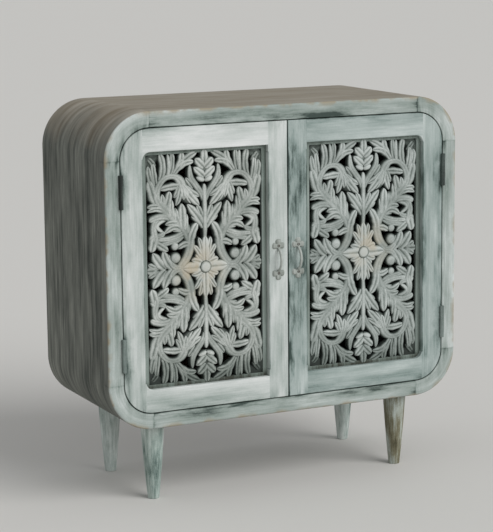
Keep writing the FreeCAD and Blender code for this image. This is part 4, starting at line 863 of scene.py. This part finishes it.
def leg_mesh(name, axis, top_radius, height):
    """A turned leg about an upright axis, from the middle of its foot to the middle of its top."""
    foot = LEG_FOOT / 2
    ease = FOOT_ROUND * FOOT_CURVE
    profile = [(0.0, 0.0), (foot - FOOT_ROUND, 0.0), (foot - ease, ease)]
    for ring in range(LEG_RINGS + 1):
        share = ring / LEG_RINGS
        radius = foot + (top_radius - foot) * share + LEG_SWELL * math.sin(math.pi * share)
        profile.append((radius, FOOT_ROUND + (height - FOOT_ROUND) * share))
    profile.append((0.0, height))
    bm = bmesh.new()
    line = [bm.verts.new(axis + Vector((radius, 0, rise))) for radius, rise in profile]
    edges = [bm.edges.new(pair) for pair in zip(line, line[1:])]
    bmesh.ops.spin(
        bm, geom=line + edges, cent=axis, axis=(0, 0, 1), angle=math.tau, steps=LEG_SIDES, use_merge=True)
    bmesh.ops.remove_doubles(bm, verts=bm.verts[:], dist=POLE_MERGE)
    return finished_mesh(name, bm, SHARP_TURNING)


for corner, coats in LEG_COATS_AND_LIGHT.items():
    leg_paint, tree, shader, place = new_finish(f"{corner}_leg_paint", roughness=0.7)
    level = brush_level(tree, place, "upright", LEG_COVER, LEG_CONTRAST)
    lay_paint(tree, shader, coat_colour(tree, level, coats), level)
    low_corner, high_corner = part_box(f"{corner}_leg")
    axis = Vector(((low_corner.x + high_corner.x) / 2, (low_corner.y + high_corner.y) / 2, low_corner.z))
    top_radius, height = (high_corner.x - low_corner.x) / 2, high_corner.z - low_corner.z
    turned = leg_mesh(f"{corner}_turned_leg", axis, top_radius, height)
    leg = bpy.data.objects.new(f"{corner}_turned_leg", turned)
    leg.data.materials.append(leg_paint)
    bpy.context.collection.objects.link(leg)
    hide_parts(f"{corner}_leg")
    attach(leg, "case")

# A plain pale studio floor under soft light: one broad lamp in front on the right, and an even pale surround.
FLOOR_REACH = 60.0
FLOOR_COLOUR, SURROUND_COLOUR, SURROUND_STRENGTH = "#dddbd7", "#eef0f1", 0.5
LAMP_FROM, LAMP_STRENGTH, LAMP_SPREAD = Vector((0.55, -1.0, 0.75)), 1.9, math.radians(45)
bm = bmesh.new()
bmesh.ops.create_grid(bm, x_segments=1, y_segments=1, size=FLOOR_REACH)
floor = bpy.data.objects.new("studio_floor", finished_mesh("studio_floor", bm, SHARP_WOOD))
floor_paint, tree, shader, place = new_finish("matt_floor", roughness=0.9)
shader.inputs["Base Color"].default_value = linear(FLOOR_COLOUR)
floor.data.materials.append(floor_paint)
bpy.context.collection.objects.link(floor)

world = bpy.data.worlds.new("pale_surround")
world.use_nodes = True
surround = world.node_tree.nodes["Background"]
surround.inputs["Color"].default_value = linear(SURROUND_COLOUR)
surround.inputs["Strength"].default_value = SURROUND_STRENGTH
bpy.context.scene.world = world

lamp_data = bpy.data.lights.new("broad_lamp", "SUN")
lamp_data.energy = LAMP_STRENGTH
lamp_data.angle = LAMP_SPREAD
lamp = bpy.data.objects.new("broad_lamp", lamp_data)
lamp.rotation_euler = (-LAMP_FROM).to_track_quat("-Z", "Y").to_euler()
bpy.context.collection.objects.link(lamp)

# The camera stands a little over four metres away, to the left of the doors and a little above the top.
CAMERA_LEFT, CAMERA_AHEAD, CAMERA_HEIGHT = 2.0405, 3.9891, 1.3059
TURN_RIGHT, TILT_DOWN, ROLL = (math.radians(angle) for angle in (25.86, 9.87, -0.55))
FOCAL_PIXELS, PICTURE_HEIGHT, SENSOR = 1972.8, 532, 36.0
level_ahead = Vector((math.sin(TURN_RIGHT), math.cos(TURN_RIGHT), 0))
ahead = level_ahead * math.cos(TILT_DOWN) - Vector((0, 0, math.sin(TILT_DOWN)))
right = Vector((math.cos(TURN_RIGHT), -math.sin(TURN_RIGHT), 0))
up = right.cross(ahead)
rolled_right = right * math.cos(ROLL) + up * math.sin(ROLL)
rolled_up = up * math.cos(ROLL) - right * math.sin(ROLL)
camera_data = bpy.data.cameras.new("photo_camera")
camera_data.sensor_fit = "VERTICAL"
camera_data.sensor_height = SENSOR
camera_data.lens = FOCAL_PIXELS * SENSOR / PICTURE_HEIGHT
camera = bpy.data.objects.new("photo_camera", camera_data)
facing = Matrix((rolled_right, rolled_up, -ahead)).transposed().to_4x4()
camera.matrix_world = Matrix.Translation((-CAMERA_LEFT, front_plane - CAMERA_AHEAD, CAMERA_HEIGHT)) @ facing
bpy.context.collection.objects.link(camera)
bpy.context.scene.camera = camera
bpy.context.scene.view_settings.view_transform = "Standard"
